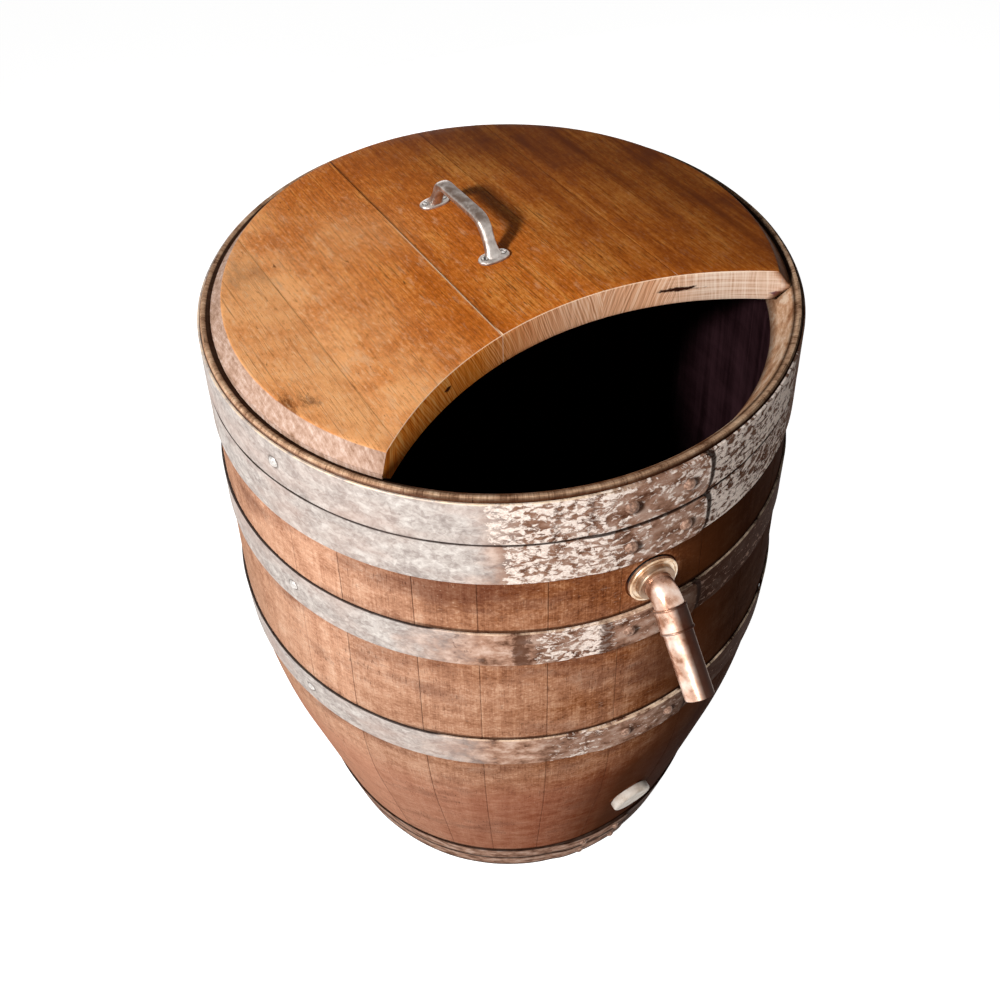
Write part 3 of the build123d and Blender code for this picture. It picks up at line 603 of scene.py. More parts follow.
def galvanised_steel(put):
    """Zinc-dipped hoop iron: frosted crystals, brown iron where zinc has gone, cream crusts of its salts."""
    band = put("UVMap", uv_map="surface")
    rust, flake, edge, grime, smudge, past, up, lee, nail = (
        put("Attribute", attribute_name=name, out=2)
        for name in "rust flake edge grime smudge past up lee nail".split()
    )
    crystal = put("TexVoronoi", stretched(put, band, 9, 7, 1), Scale=1.0, Randomness=1.0, out=1)
    crystal = put("SeparateColor", crystal)
    # The grains of the crust are powder in life; they are drawn about 2.4 mm wide to show
    cloud, frost, broad, crust, fine = (
        put("TexNoise", stretched(put, band, *size, 1), Scale=1.0, **dict(zip(NOISE, values)))
        for size, *values in (
            ((22, 17), 6, 0.66),
            ((6, 5), 5, 0.66, 0.8),
            ((110, 60), 5, 0.6),
            ((9, 6), 6, 0.7, 0.5),
            ((2.6, 2.2), 3, 0.6),
        )
    )

    mottle = summed(put, (cloud, 0.42), (crystal, 0.1), (frost, 0.48))
    zinc = put("ValToRGB", mottle, stops=[(0.38, "#948882"), (0.5, "#b6aba4"), (0.62, "#d3cbc4")])
    iron = put("ValToRGB", cloud, stops=[(0.36, "#5b3b2b"), (0.5, "#aa826c"), (0.63, "#cfb09e")])
    beyond = put("MapRange", past, 0.0, 6 * MM, 0.0, 0.55)
    iron = layered(put, iron, (flake, "#452518", 0.42), (beyond, "#33190e"))
    bare = summed(put, (broad, 0.5), (cloud, 0.5), base=rust)
    bare = put("MapRange", bare, 0.72, 1.12)
    coat = summed(put, (flake, 0.36), (broad, 0.3), base=crust)
    coat = put("MapRange", coat, 0.965, 1.02)
    cream = put("ValToRGB", fine, stops=[(0.3, "#cbb4a6"), (0.62, "#f0e1d6")])
    # Painted shade on the right side darkens the crust
    cream = layered(put, cream, (lee, "#63371a", 0.82))
    patchy = summed(put, (smudge, 0.95), (frost, 2.4))
    colour = layered(
        put,
        zinc,
        (put("MapRange", broad, 0.44, 0.66, 0.0, 0.5), "#bb9f92"),
        (bare, iron),
        # painted shade on the right side
        (lee, "#2b1408", put("MapRange", cloud, 0.34, 0.66, 1.0, 0.8)),
        (coat, cream),
        (put("MapRange", patchy, 1.62, 2.0, 0.0, 0.8), "#4c2c1d"),
        # painted highlight along the upper edge
        (edge, "#e6cbae", put("MapRange", cloud, 0.4, 0.58)),
    )

    # Painted shadows beside the lap's end, round the nail and below right of each rivet, laid with the dark
    # edge lines
    middle, *fade = LAP_SHADOW
    lap = put("Math", put("Math", past, middle, operation="SUBTRACT"), operation="ABSOLUTE")
    ring = put("VectorMath", put("CombineXYZ", nail, up, 0.0), operation="LENGTH", out=1)
    marks = [put("MapRange", lap, *fade), put("MapRange", ring, *NAIL_SHADOW, 0.0, 0.6)]
    right, down, *fade = RIVET_SHADOW
    for distance in RIVETS:
        off = put("Math", past, distance - right, operation="ADD")
        off = put("CombineXYZ", off, put("Math", up, down, operation="ADD"), 0.0)
        off = put("VectorMath", off, operation="LENGTH", out=1)
        marks.append(put("MapRange", off, *fade, 0.0, 0.85))
    for mark in marks:
        grime = put("Math", mark, grime, operation="MAXIMUM")
    colour = layered(put, colour, (grime, "#1f0e07", 0.92))
    rough = put("MapRange", bare, 0.0, 1.0, 0.5, 0.72)
    metal = put("MapRange", bare, 0.0, 1.0, 0.3, 0.0)
    for cover in (coat, lee):
        metal = summed(put, (metal, put("MapRange", cover, 0.0, 1.0, 1.0, 0.0)))
    finish_surface(put, summed(put, (coat, 0.6), base=cloud), 0.35, colour, rough, metal, gloss=0.02)


def rusty_steel(put):
    """Hand-set iron rivets: brown rust, pitted and mottled."""
    place = put("TexCoord", out=3)
    pit = put("TexNoise", stretched(put, place, 3, 3, 3), Scale=1.0, Detail=5.0, Roughness=0.65)
    colour = put("ValToRGB", pit, stops=[(0.36, "#54392b"), (0.52, "#8a6753"), (0.68, "#bc9c88")])
    finish_surface(put, pit, 0.5, colour, 0.6, metal=0.2)


def plated_steel(put):
    """Zinc-plated nails and screws: pale grey, hazy, with painted shade in the slot and round the edge."""
    place = put("TexCoord", out=3)
    dirty = put("Attribute", attribute_name="dirty", out=2)
    # The haze of the plating is finer in life; it is drawn 2 mm wide to show
    haze = put("TexNoise", stretched(put, place, 2, 2, 2), Scale=1.0, Detail=4.0, Roughness=0.6)
    colour = put("ValToRGB", haze, stops=[(0.35, "#b5aea8"), (0.6, "#e6e1dc")])
    # Painted shade in the slot and round the edge of the head
    colour = layered(put, colour, (dirty, "#2e2019", 0.85))
    finish_surface(put, haze, 0.08, colour, 0.36, metal=0.8)


def honey_oak(put):
    """Oiled oak boards with open pores and scuffs; pale where the bevel and the curved cut were sawn."""
    wood = put("UVMap", uv_map="surface")
    place = put("TexCoord", out=3)
    tone, dusk, bleach, bevel, pale, cut, growth, under, arris, seam = (
        put("Attribute", attribute_name=name, out=2)
        for name in "tone dusk bleach bevel pale cut growth under arris seam".split()
    )
    # Oak pores and fibres are about 0.3 mm wide, too fine to show, and are drawn 1.4 to 2.4 mm wide
    ring, streak, pore, furrow, scrape, speck, mottle, chip = (
        put("TexNoise", stretched(put, wood, *size, 1), Scale=1.0, **dict(zip(NOISE, values)))
        for size, *values in (
            ((420, 15), 4, 0.6, 0.3),
            ((60, 2.1), 4, 0.66),
            ((24, 1.4), 2, 0.5),
            ((130, 2.4), 3, 0.55),
            ((34, 15), 9, 0.78),
            ((17, 6), 3, 0.55),
            ((7, 4), 5, 0.7),
            ((12, 3.6), 5, 0.72),
        )
    )
    wear = put("TexNoise", stretched(put, place, 75, 75, 75), Scale=1.0, Detail=8.0, Roughness=0.7)

    grain = summed(put, (ring, 0.2), (streak, 0.22), (wear, 0.28), (mottle, 0.3))
    oiled = put("ValToRGB", grain, stops=[(0.41, "#a24f12"), (0.5, "#cd7025"), (0.59, "#ea9b4b")])
    line = summed(put, (put("MapRange", pore, 0.57, 0.65), put("MapRange", wear, 0.36, 0.6, 0.35, 1.0)))
    bare = put("MapRange", bleach, 0.0, 1.0, 0.2, 0.75)
    scuff = summed(put, (bleach, 0.03), base=scrape)
    scuff = put("MapRange", scuff, 0.56, 0.72, 0.0, 0.7)
    soil = summed(put, (streak, 0.4), (scrape, 0.6))
    colour = layered(
        put,
        oiled,
        (line, "#602b0a", 0.7),
        # Wear and painted light pale the left front
        (bleach, "#f3b075", put("MapRange", wear, 0.4, 0.58, 0.35, 0.9)),
        (put("MapRange", chip, 0.54, 0.66), "#edbb8c", bare),
        (put("MapRange", chip, 0.45, 0.32, 0.0, 0.45), "#7f4116"),
        (scuff, "#e6b58a", put("MapRange", dusk, 0.0, 0.6, 1.0, 0.4)),
        (put("MapRange", soil, 0.46, 0.34, 0.0, 0.5), "#7d3f14"),
    )
    for x, y, size, strength in LID_SMIRCHES:
        off = put("VectorMath", place, (x, y, LID_TOP), operation="SUBTRACT")
        off = put("VectorMath", off, operation="LENGTH", out=1)
        off = summed(put, (scrape, -SMIRCH_RAGGED), base=off)
        mark = put("MapRange", off, size - SMIRCH_RAGGED / 2, -SMIRCH_RAGGED / 2, 0.0, strength)
        colour = layered(put, colour, (mark, "#5a290b"))
    furrow = put("MapRange", furrow, 0.6, 0.68, 0.0, 0.6)
    # Painted shade, mottled, darkens the right back of the lid
    mottled_shade = summed(put, (ring, 0.5), (wear, 0.5))
    mottled_shade = summed(put, (put("MapRange", mottled_shade, 0.64, 0.38, 0.42, 0.74), dusk))
    colour = layered(
        put,
        colour,
        (furrow, "#6a3009", put("MapRange", wear, 0.42, 0.56, 0.15, 1.0)),
        (put("MapRange", speck, 0.69, 0.74, 0.0, 0.75), "#46200c"),
        (put("MapRange", mottled_shade, 0.0, 1.1, 0.0, 0.95), "#552506"),
    )
    shade = put("MapRange", tone, 0.0, 1.0, 0.93, 1.06)
    colour = put("VectorMath", colour, Scale=shade, operation="SCALE")

    edge = summed(put, (mottle, 0.4), (scrape, 0.4), (streak, 0.2))
    sawn = put("ValToRGB", edge, stops=[(0.4, "#8a6953"), (0.5, "#b49380"), (0.59, "#cfb6a7")])
    brown = put("ValToRGB", edge, stops=[(0.38, "#452613"), (0.5, "#684025"), (0.62, "#8a6040")])
    level = put("SeparateXYZ", place, out=2)
    face = put("CombineXYZ", growth, level, 0.0)
    slant = summed(put, (put("MapRange", tone, 0.0, 1.0, -0.3, 0.4), level), base=growth)
    wander = put("TexNoise", stretched(put, face, 30, 60, 1), Scale=1.0)
    wander = summed(put, (wander, 7 * MM), base=slant)
    layers = stretched(put, put("CombineXYZ", wander, level, 0.0), 1.7, 110, 1)
    layers, rays = (
        put("TexNoise", space, Scale=1.0, Detail=2.0, Roughness=0.55)
        for space in (layers, stretched(put, face, 70, 2.4, 1))
    )
    layers = summed(put, (mottle, 0.3), (layers, 0.7))
    crossed = summed(put, (layers, 0.55), (rays, 0.45))
    end_old = put("ValToRGB", layers, stops=[(0.38, "#c05d17"), (0.5, "#ee8a30"), (0.62, "#f9b566")])
    end_sawn = put("ValToRGB", layers, stops=[(0.38, "#ad7550"), (0.5, "#e0a67f"), (0.61, "#f0c9a9")])
    end_pale = put("ValToRGB", crossed, stops=[(0.38, "#bb9176"), (0.48, "#dab9a1"), (0.6, "#ead4c1")])
    fresh, palest = (put("MapRange", growth, *places) for places in CUT_CHANGES)
    sawn_end = layered(put, end_old, (fresh, end_sawn), (palest, end_pale))
    ragged = put("TexNoise", stretched(put, face, 6, 3, 1), Scale=1.0, Detail=4.0)
    for (across, height, wide, high), stain in CUT_MARKS:
        off = put("VectorMath", face, (across, height, 0.0), operation="SUBTRACT")
        off = put("VectorMath", off, (1 / wide, 1 / high, 0.0), operation="MULTIPLY")
        off = put("VectorMath", off, operation="LENGTH", out=1)
        off = summed(put, (ragged, 1.6), base=off)
        sawn_end = layered(put, sawn_end, (put("MapRange", off, 1.75, 1.35), stain))
    colour = layered(
        put,
        colour,
        (seam, "#3b1c0a"),
        (bevel, layered(put, brown, (pale, sawn))),
        (cut, sawn_end),
        # Painted highlight along the top edge of the cut and beside the plainest joint
        (arris, "#fae0c2", 0.95),
        (under, "#3a2013", 0.75),
    )
    rough = put("MapRange", wear, 0.3, 0.7, 0.5, 0.66)
    finish_surface(put, summed(put, (line, -0.5), base=grain), 0.3, colour, rough, gloss=0.03)


def plain_oak(put):
    """Planed oak out of sight: bottom boards, battens and pegs, brown with damp."""
    place = put("TexCoord", out=3)
    along = put("Mapping", place, Rotation=(0.0, 0.0, math.radians(-BOARD_AZIMUTH)))
    streak, damp = (
        put("TexNoise", stretched(put, space, *size), Scale=1.0, Detail=5.0, Roughness=0.6)
        for space, size in ((along, (300, 6, 20)), (place, (80, 80, 80)))
    )
    colour = put("ValToRGB", streak, stops=[(0.35, "#5c3c26"), (0.5, "#85603f"), (0.65, "#a68058")])
    colour = layered(put, colour, (put("MapRange", damp, 0.45, 0.7, 0.0, 0.6), "#40281a"))
    finish_surface(put, streak, 0.3, colour, 0.66)


def tumbled_aluminium(put):
    """Cast handle, tumbled bright: soft highlights, faint casting waves, a painted dark reflection on top of
    the grip.
    """
    place = put("TexCoord", out=3)
    dull = put("Attribute", attribute_name="dull", out=2)
    wave = put("TexNoise", stretched(put, place, 9, 9, 9), Scale=1.0, Detail=5.0, Roughness=0.62)
    colour = put("ValToRGB", wave, stops=[(0.34, "#978c85"), (0.52, "#b7aea7"), (0.68, "#d2cbc5")])
    # Painted dark reflection on top of the grip
    colour = layered(put, colour, (dull, "#5d4a3e", put("MapRange", wave, 0.38, 0.66, 0.95, 0.55)))
    rough = put("MapRange", wave, 0.3, 0.7, 0.28, 0.44)
    finish_surface(put, wave, 0.12, colour, rough, metal=0.9)


def copper_pipe(put):
    """Drawn copper tube, rubbed bright; brown patina in clouds, and painted shade on one side."""
    place = put("TexCoord", out=3)
    around, side, joint = (
        put("Attribute", attribute_name=name, out=2) for name in ("around", "side", "joint")
    )
    cloud = put("TexNoise", stretched(put, place, 19, 19, 19), Scale=1.0, Detail=5.0, Roughness=0.58)
    # The hair scratches of a rubbed pipe are far finer in life; they are drawn 2 mm wide to show
    hair = put("TexNoise", stretched(put, place, 2, 2, 2), Scale=1.0, Detail=3.0, Roughness=0.6)
    # Painted shade on one side of the pipe, which is also rougher and less metallic there
    shaded = summed(put, (side, 0.35), base=around)
    shaded = put("MapRange", shaded, 0.68, 0.98, 0.0, 0.97)
    colour = layered(
        put,
        put("ValToRGB", cloud, stops=[(0.37, "#b38268"), (0.5, "#d9b39d"), (0.62, "#efd7c8")]),
        (put("MapRange", cloud, 0.46, 0.34, 0.0, 0.4), "#7d5138"),
        (joint, "#5e341c", 0.7),
        (shaded, "#331407"),
    )
    rough = put("MapRange", cloud, 0.35, 0.7, 0.22, 0.42)
    rough = summed(put, (shaded, 0.4), base=rough)
    metal = put("MapRange", shaded, 0.0, 1.0, 0.75, 0.0)
    finish_surface(put, hair, 0.03, colour, rough, metal, gloss=0.1)


def turned_brass(put):
    """Turned brass tank fitting: pale and rubbed on its rim, brown with painted shade round the pipe, under
    the elbow.
    """
    place = put("TexCoord", out=3)
    tarnish = put("Attribute", attribute_name="tarnish", out=2)
    cloud = put("TexNoise", stretched(put, place, 12, 12, 12), Scale=1.0, Detail=4.0, Roughness=0.6)
    colour = put("ValToRGB", cloud, stops=[(0.36, "#c39a76"), (0.5, "#e2c3a2"), (0.64, "#f4e1c9")])
    # Painted shade on the collar under the elbow
    colour = layered(put, colour, (tarnish, "#5f351b", 0.7))
    rough = put("MapRange", cloud, 0.35, 0.7, 0.24, 0.42)
    finish_surface(put, cloud, 0.05, colour, rough, metal=0.8)


def white_silicone(put):
    """Moulded silicone bung: off-white, satin, faintly yellowed and dusty."""
    place = put("TexCoord", out=3)
    dust = put("TexNoise", stretched(put, place, 14, 14, 14), Scale=1.0, Detail=6.0, Roughness=0.65)
    colour = put("ValToRGB", dust, stops=[(0.34, "#b8a695"), (0.52, "#d2c5b8"), (0.7, "#e0d7cd")])
    finish_surface(put, dust, 0.15, colour, 0.5, gloss=0.3)


def black_rubber(put):
    """Cut sheet rubber washer, matt black."""
    place = put("TexCoord", out=3)
    bloom = put("TexNoise", stretched(put, place, 5, 5, 5), Scale=1.0, Detail=4.0)
    colour = put("ValToRGB", bloom, stops=[(0.3, "#141312"), (0.7, "#2a2826")])
    finish_surface(put, bloom, 0.1, colour, 0.7)


FINISHES = {  # what makes each material, and the setting of its viewport colour
    "weathered_oak": (weathered_oak, "stave_oak"),
    "galvanised_steel": (galvanised_steel, "zinc"),
    "rusty_steel": (rusty_steel, "rust"),
    "plated_steel": (plated_steel, "plate"),
    "honey_oak": (honey_oak, "lid_oak"),
    "plain_oak": (plain_oak, "plain_oak"),
    "tumbled_aluminium": (tumbled_aluminium, "aluminium"),
    "copper_pipe": (copper_pipe, "copper"),
    "turned_brass": (turned_brass, "brass"),
    "white_silicone": (white_silicone, "silicone"),
    "black_rubber": (black_rubber, "rubber"),
}


def finish(name):
    """The material of this name, made on its first use."""
    if name not in bpy.data.materials:
        make, colour = FINISHES[name]
        make(new_material(name, getattr(bpy.context.scene.water_barrel, colour))[1])
    return bpy.data.materials[name]


def dress_nodes(names, material):
    """Gives CAD nodes that stay in view their finish."""
    for name in names:
        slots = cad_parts[name].data.materials
        slots.clear()
        slots.append(finish(material))


def hoop_edges(name):
    """Lower and upper edge of a hoop."""
    low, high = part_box(name)
    return low.z, high.z


def sunny(azimuth):
    """How far the weather bleached the wood: full at the left, gone at the front right."""
    return 1 - step(*SUNNY_FADE, np.abs(wrapped(azimuth - SUNNY_SIDE)))


def stave_surface(number, start, width, ease, rng):
    """Closed surface of one stave as a grid of sections up its height.

    At height z the section runs over the outside arc, whose edges are eased by a quarter circle, and back
    over the inside arc: r = R(z) - depth outside and r = r_in(z) inside, between the two joint angles.
    """
    hoops = np.array([hoop_edges(name) for name in HOOPS]).ravel()
    feet, tops = hoops[::2], hoops[1::2]
    heights = [END_ROWS, HEIGHT - END_ROWS, np.arange(*MIDDLE_ROWS), hoops - MM, hoops + MM]
    heights += [tops + over for over in SHELF_ROWS]
    z = np.unique(np.round(np.concatenate(heights), 5))[:, None]
    from_end = np.minimum(z, HEIGHT - z)

    girth = math.radians(width) * BILGE_RADIUS
    near = np.array([0, 0.25, 0.6, 1.0]) * ease
    face = np.linspace(5 * ease, girth - 5 * ease, 10)
    s = np.concatenate([near, [2.2 * ease], face, [girth - 2.2 * ease], girth - near[::-1]])
    to_joint = np.minimum(s, girth - s)
    roll = 0.75 * ease * quarter_round(to_joint / ease)
    phase = rng.uniform(0, 6.28, 4)
    waves = np.sin(9 * z + phase[0]) * np.cos(40 * s + phase[1]) + 0.6 * np.sin(31 * z + phase[2] + 25 * s)
    depth = roll + (0.25 + 0.12 * waves + 0.35 * rng.uniform()) * MM
    outside = outer_radius(z) - depth - END_ROUNDING * quarter_round(from_end / END_ROUNDING)

    back = np.linspace(girth, 0, 7)
    inside = np.broadcast_to(inner_radius(z), (len(z), len(back)))
    radius = np.concatenate([outside, inside], 1)
    around = np.concatenate([s, np.clip(back, STAVE_GAP, girth - STAVE_GAP)])
    theta = np.broadcast_to(math.radians(start) + math.radians(width) * around / girth, radius.shape)
    level = np.broadcast_to(z, radius.shape)
    points = np.stack([radius * np.cos(theta), radius * np.sin(theta), level], -1)

    is_back = np.concatenate([np.zeros(len(s)), np.ones(len(back))])
    in_chime = is_back * step(CHIME_DEPTH + MM, CHIME_DEPTH - MM, from_end)
    seam = step(0.7 * ease, 0.1 * ease, to_joint) * rng.uniform(0.1, 0.8)
    seam = np.concatenate([seam, np.zeros(len(back))])
    degrees = wrapped(np.degrees(theta))
    # Painted shade in the gap between the rim and the top hoop
    rim_gap_shade = (1 - is_back) * step(0.3 * MM, 1.6 * MM, from_end) * step(6 * MM, 4 * MM, from_end)
    rim_gap_shade = rim_gap_shade * (1 - 0.7 * step(*RIM_GAP_SHADE_FADE, degrees))
    middle_gap, half_gap = sum(LID_GAP) / 2, (LID_GAP[1] - LID_GAP[0]) / 2
    # Painted shade on the top of the chime inside, where the lid sits in it
    lid_gap_shade = is_back * step(half_gap, half_gap + 4, np.abs(degrees - middle_gap)) * (z > HALF)
    lid_gap_shade = lid_gap_shade * step(0.1 * MM, 0.5 * MM, from_end) * step(12 * MM, 8 * MM, from_end)
    over = np.min(np.abs(z - tops - 0.5 * MM), axis=1, keepdims=True)
    shelf = (1 - is_back) * step(3.5 * MM, 1.7 * MM, over) * step(*SHELF_START, degrees)
    under = np.min(np.where(feet >= z, feet - z, 1), axis=1, keepdims=True)
    low = step(*FOOT_WAX, level)
    # Painted shade on the right side of the staves, setting in further left near the foot
    lee = sum(share * step(*places, degrees + LEE_SHADE_TURN * low) for share, *places in LEE_SHADE)
    azimuth, at, wide, high = SMEAR
    across = np.concatenate([s, back]) + STAVE_SHIFT[0] * number
    marks = {
        "uv": np.stack(np.broadcast_arrays(across, level + STAVE_SHIFT[1] * number), -1),
        # joint: the dark seams and the dark line over each hoop, with painted shade under the rim and by the
        # lid
        "joint": np.maximum.reduce(np.broadcast_arrays(seam, 0.8 * rim_gap_shade, lid_gap_shade, 0.85 * shelf)),
        "inside": is_back * (1 - in_chime),
        "end": step(1.2 * MM, 0.2 * MM, from_end),
        "chime": in_chime * step(1.2 * MM, 4 * MM, from_end),
        "tone": rng.uniform(),
        "weather": sunny(degrees) - 0.22 * step(*BROWN_TOP, level) * step(*BROWN_START, degrees),
        "drip": step(DRIP_LENGTH, 0, under),
        "lee": lee * step(*LEE_SHADE_END, degrees),
        "low": low,
        "smear": np.exp(-(((degrees - azimuth) / wide) ** 2) - ((level - at) / high) ** 2),
    }
    return points.reshape(-1, 3), capped(*radius.shape), spread(marks, radius.shape)


def bore(piece, cutters):
    """Bores closed cutter surfaces out of a piece."""
    points, faces, _ = shell(cutters)
    mesh = bpy.data.meshes.new("bore")
    mesh.from_pydata(points.tolist(), [], faces)
    cutter = linked("bore", mesh)
    cut = piece.modifiers.new("bore", "BOOLEAN")
    cut.object = cutter
    cut.solver = "EXACT"
    graph = bpy.context.evaluated_depsgraph_get()
    bored = bpy.data.meshes.new_from_object(piece.evaluated_get(graph))
    piece.modifiers.clear()
    piece.data = bored
    bpy.data.objects.remove(cutter)


def plug(azimuth_height, radius, low, high):
    """Closed cylinder square to the wall, from one height over it to another."""
    profile = [(0, low), (radius, low), (radius, high), (0, high)]
    return lathe(profile, *wall_frame(*azimuth_height), closed=False)


class BARREL_OT_staves(bpy.types.Operator):
    """Make the staves with eased joints and bore the spout and bung holes"""

    bl_idname = "barrel.staves"
    bl_label = "Staves"

    def execute(self, context):
        rng = np.random.default_rng(28)
        degrees = 360 / (STAVE_ROUNDS * sum(STAVE_WIDTHS))
        start = FIRST_JOINT
        ease = context.scene.water_barrel.joint_ease
        for index, share in enumerate(STAVE_ROUNDS * STAVE_WIDTHS):
            width = share * degrees
            node = f"stave_{index + 1:02d}"
            surface = stave_surface(index, start, width, ease, rng)
            piece = make_piece(node + "_oak", surface, "weathered_oak", "barrel", "oak_staves", node)
            if start < BUNG[0] < start + width:
                holes = [
                    plug(BUNG, BUNG_HOLE, -2 * WALL, WALL),
                    plug(SPOUT, SEAT[0], -SEAT[1], WALL),
                    plug(SPOUT, TAIL_HOLE, -2 * WALL, -SEAT[1] / 2),
                ]
                bore(piece, holes)
            start += width
        return {"FINISHED"}


def rust_by_azimuth(azimuth):
    """How far the zinc has gone: not at all at the left, all of it either side of the lap."""
    off = wrapped(azimuth - RUSTY_SIDE)
    return 0.85 * step(*RUST_START, off) * step(*RUST_STOP, off)


def flake_by_azimuth(azimuth, name):
    """How much crust clings: it starts sharply, thins out over the lap and comes back beyond it."""
    start = FLAKE_STARTS[name]
    first = FLAKED[name] * step(start - FLAKE_EDGE, start + FLAKE_EDGE, azimuth) * step(*FLAKE_STOP, azimuth)
    over = LAPPED[name] * step(*LAPPED_START, azimuth) * step(*LAPPED_STOP, azimuth)
    second = CRUSTED[name] * step(*CRUSTED_START, azimuth) * step(*CRUSTED_STOP, azimuth)
    return np.clip(first + over + second, 0, 1)


def hoop_marks(name, degrees, up, width, radius):
    """Rust, crust, soiling, painted shade and painted highlight of a hoop by azimuth and by place up the
    band, and distances from lap and nail.
    """
    from_low, from_high = up - up.min(1, keepdims=True), up.max(1, keepdims=True) - up
    # Painted highlight along the upper edge
    highlight = EDGE_HIGHLIGHT.get(name, 0) * step(*EDGE_HIGHLIGHT_START, degrees) * step(*EDGE_HIGHLIGHT_STOP, degrees)
    if name == TOP_HOOP:
        highlight = step(*TOP_EDGE_HIGHLIGHT_STOP, degrees)
    # A dark line along one edge is painted shade and grime: the lower edge of the top hoop, at the gap to the
    # next hoop, and the upper edge of the others, away from the painted highlight
    from_dark_edge = from_low if name == TOP_HOOP else from_high + 5 * MM * highlight
    grime = step(1.2 * MM, 0.5 * MM, from_dark_edge)
    soil_start = SOIL_START
    if name in FOOT_HOOPS:
        grime = np.maximum(step(9 * MM, 6.5 * MM, from_low), step(2.4 * MM, 1.4 * MM, from_high))
        soil_start = FOOT_SOIL_START
    soiled = SOILED[name] * step(soil_start, soil_start + SOIL_FADE, degrees) * step(*SOIL_STOP, degrees)
    smudges = SMUDGES.get(name, ())
    bow = np.clip((np.abs(up) / (width / 2) - 1 + LAP_BOW) / LAP_BOW, 0, 1)
    bow = LAP_NOSE * (1 - np.sqrt(1 - bow**2))
    return {
        "rust": rust_by_azimuth(degrees) + soiled,
        "flake": flake_by_azimuth(degrees, name),
        "lee": LEE_SHADE_DEPTH[name] * step(*LEE_SHADE_STARTS[name], degrees) * step(*LEE_SHADE_STOP, degrees),
        "edge": highlight * step(1.2 * MM, 0.4 * MM, from_high),
        "grime": grime,
        "smudge": sum(dark * np.exp(-(((degrees - spot) / SMUDGE_SPREAD) ** 2)) for spot, dark in smudges),
        "past": np.radians(degrees - LAP_AZIMUTH) * (radius + HOOP_THICKNESS) + bow,
        "up": up,
        "nail": np.radians(degrees - NAIL_AZIMUTH) * radius + (name not in NAILED),
    }


def band_section(half, count=9):
    """Places up the band and heights over the wood of a section with round outer edges."""
    edge = HOOP_THICKNESS / 2
    turn = np.radians(np.linspace(0, 90, 5))
    places, heights = -half + edge * (1 - np.sin(turn)), HOOP_THICKNESS - edge * (1 - np.cos(turn))
    low_edge = np.stack([places, heights], -1)[::-1]
    flat = np.linspace(-half + 2 * edge, half - 2 * edge, count)
    flat = np.stack([flat, np.full(count, HOOP_THICKNESS)], -1)
    return np.concatenate([low_edge, flat, low_edge[::-1] * (-1, 1), [[half, 0.0], [-half, 0.0]]])


def hoop_surface(name, rng):
    """One hoop: a conical band with round edges, and the lap that steps up over its end.

    The band is r = R(z) + h, where h runs from the wood to the outside over a section with round edges and
    shallow dents; the lap is the same section over a shorter arc, raised by one thickness.
    """
    low, high = hoop_edges(name)
    middle, width = (low + high) / 2, high - low
    slope = float(outer_radius(high) - outer_radius(low)) / width
    radius = float(outer_radius(middle)) + HOOP_GAP
    phase = rng.uniform(0, 6.28, 6)

    def carried(profile, azimuth, along, lift, squeeze):
        """Carries a section round the barrel; lift raises it and squeeze narrows it at each azimuth."""
        a = np.radians(azimuth)[:, None]
        v = profile[:, 0] * squeeze[:, None]
        top = profile[:, 1] > HOOP_THICKNESS * 0.3
        dent = np.sin(5 * a + phase[0]) * np.sin(60 * v + phase[1]) + 0.7 * np.sin(13 * a + phase[2] + 40 * v)
        dent = dent + 0.8 * np.sin(29 * a + phase[3]) * np.cos(90 * v + phase[4])
        h = profile[:, 1] + lift[:, None] + DENT * dent * top
        r = radius + slope * v + h
        a = np.broadcast_to(a, r.shape)
        points = np.stack([r * np.cos(a), r * np.sin(a), middle + v - slope * h], -1)
        marks = hoop_marks(name, wrapped(np.degrees(a)), v, width, radius)
        marks["uv"] = np.stack(np.broadcast_arrays(along[:, None], v + HOOP_SHIFT * middle), -1)
        return points.reshape(-1, 3), spread(marks, r.shape)

    profile = band_section(width / 2)
    azimuth = np.linspace(0, 360, HOOP_STEPS) + LAP_AZIMUTH - HOOP_SEAM
    level, full = np.zeros(HOOP_STEPS), np.ones(HOOP_STEPS)
    points, marks = carried(profile, azimuth, np.radians(azimuth) * radius, level, full)
    band = (points, grid_faces(HOOP_STEPS, len(profile), wrap_columns=True), marks)

    profile = band_section(width / 2 - LAP_INSET)
    straight = LAP_LENGTH - LAP_NOSE
    nose = straight + LAP_NOSE * np.sin(np.radians(np.linspace(10, 90, 10)))
    along = np.concatenate([np.linspace(-LAP_RAMP, 0, 8), np.linspace(4 * MM, straight, 24), nose])
    azimuth = LAP_AZIMUTH + np.degrees((along - LAP_LENGTH) / (radius + HOOP_THICKNESS))
    lift = HOOP_THICKNESS * (step(-LAP_RAMP, 2 * MM, along) - LAP_SINK)
    share = np.clip((along - LAP_LENGTH) / LAP_NOSE + 1, 0, 1)
    squeeze = 1 - LAP_BOW * (1 - np.sqrt(1 - share**2))
    points, marks = carried(profile, azimuth, along + LAP_SHIFT + middle, lift, squeeze)
    return shell([band, (points, capped(len(along), len(profile)), marks)])


class BARREL_OT_hoops(bpy.types.Operator):
    """Make the six hoops with round edges, dents and riveted laps"""

    bl_idname = "barrel.hoops"
    bl_label = "Hoops"

    def execute(self, context):
        rng = np.random.default_rng(6)
        for name in HOOPS:
            surface = hoop_surface(name, rng)
            make_piece(name + "_band", surface, "galvanised_steel", "barrel", "hoop_steel", name, sharp=30)
        return {"FINISHED"}


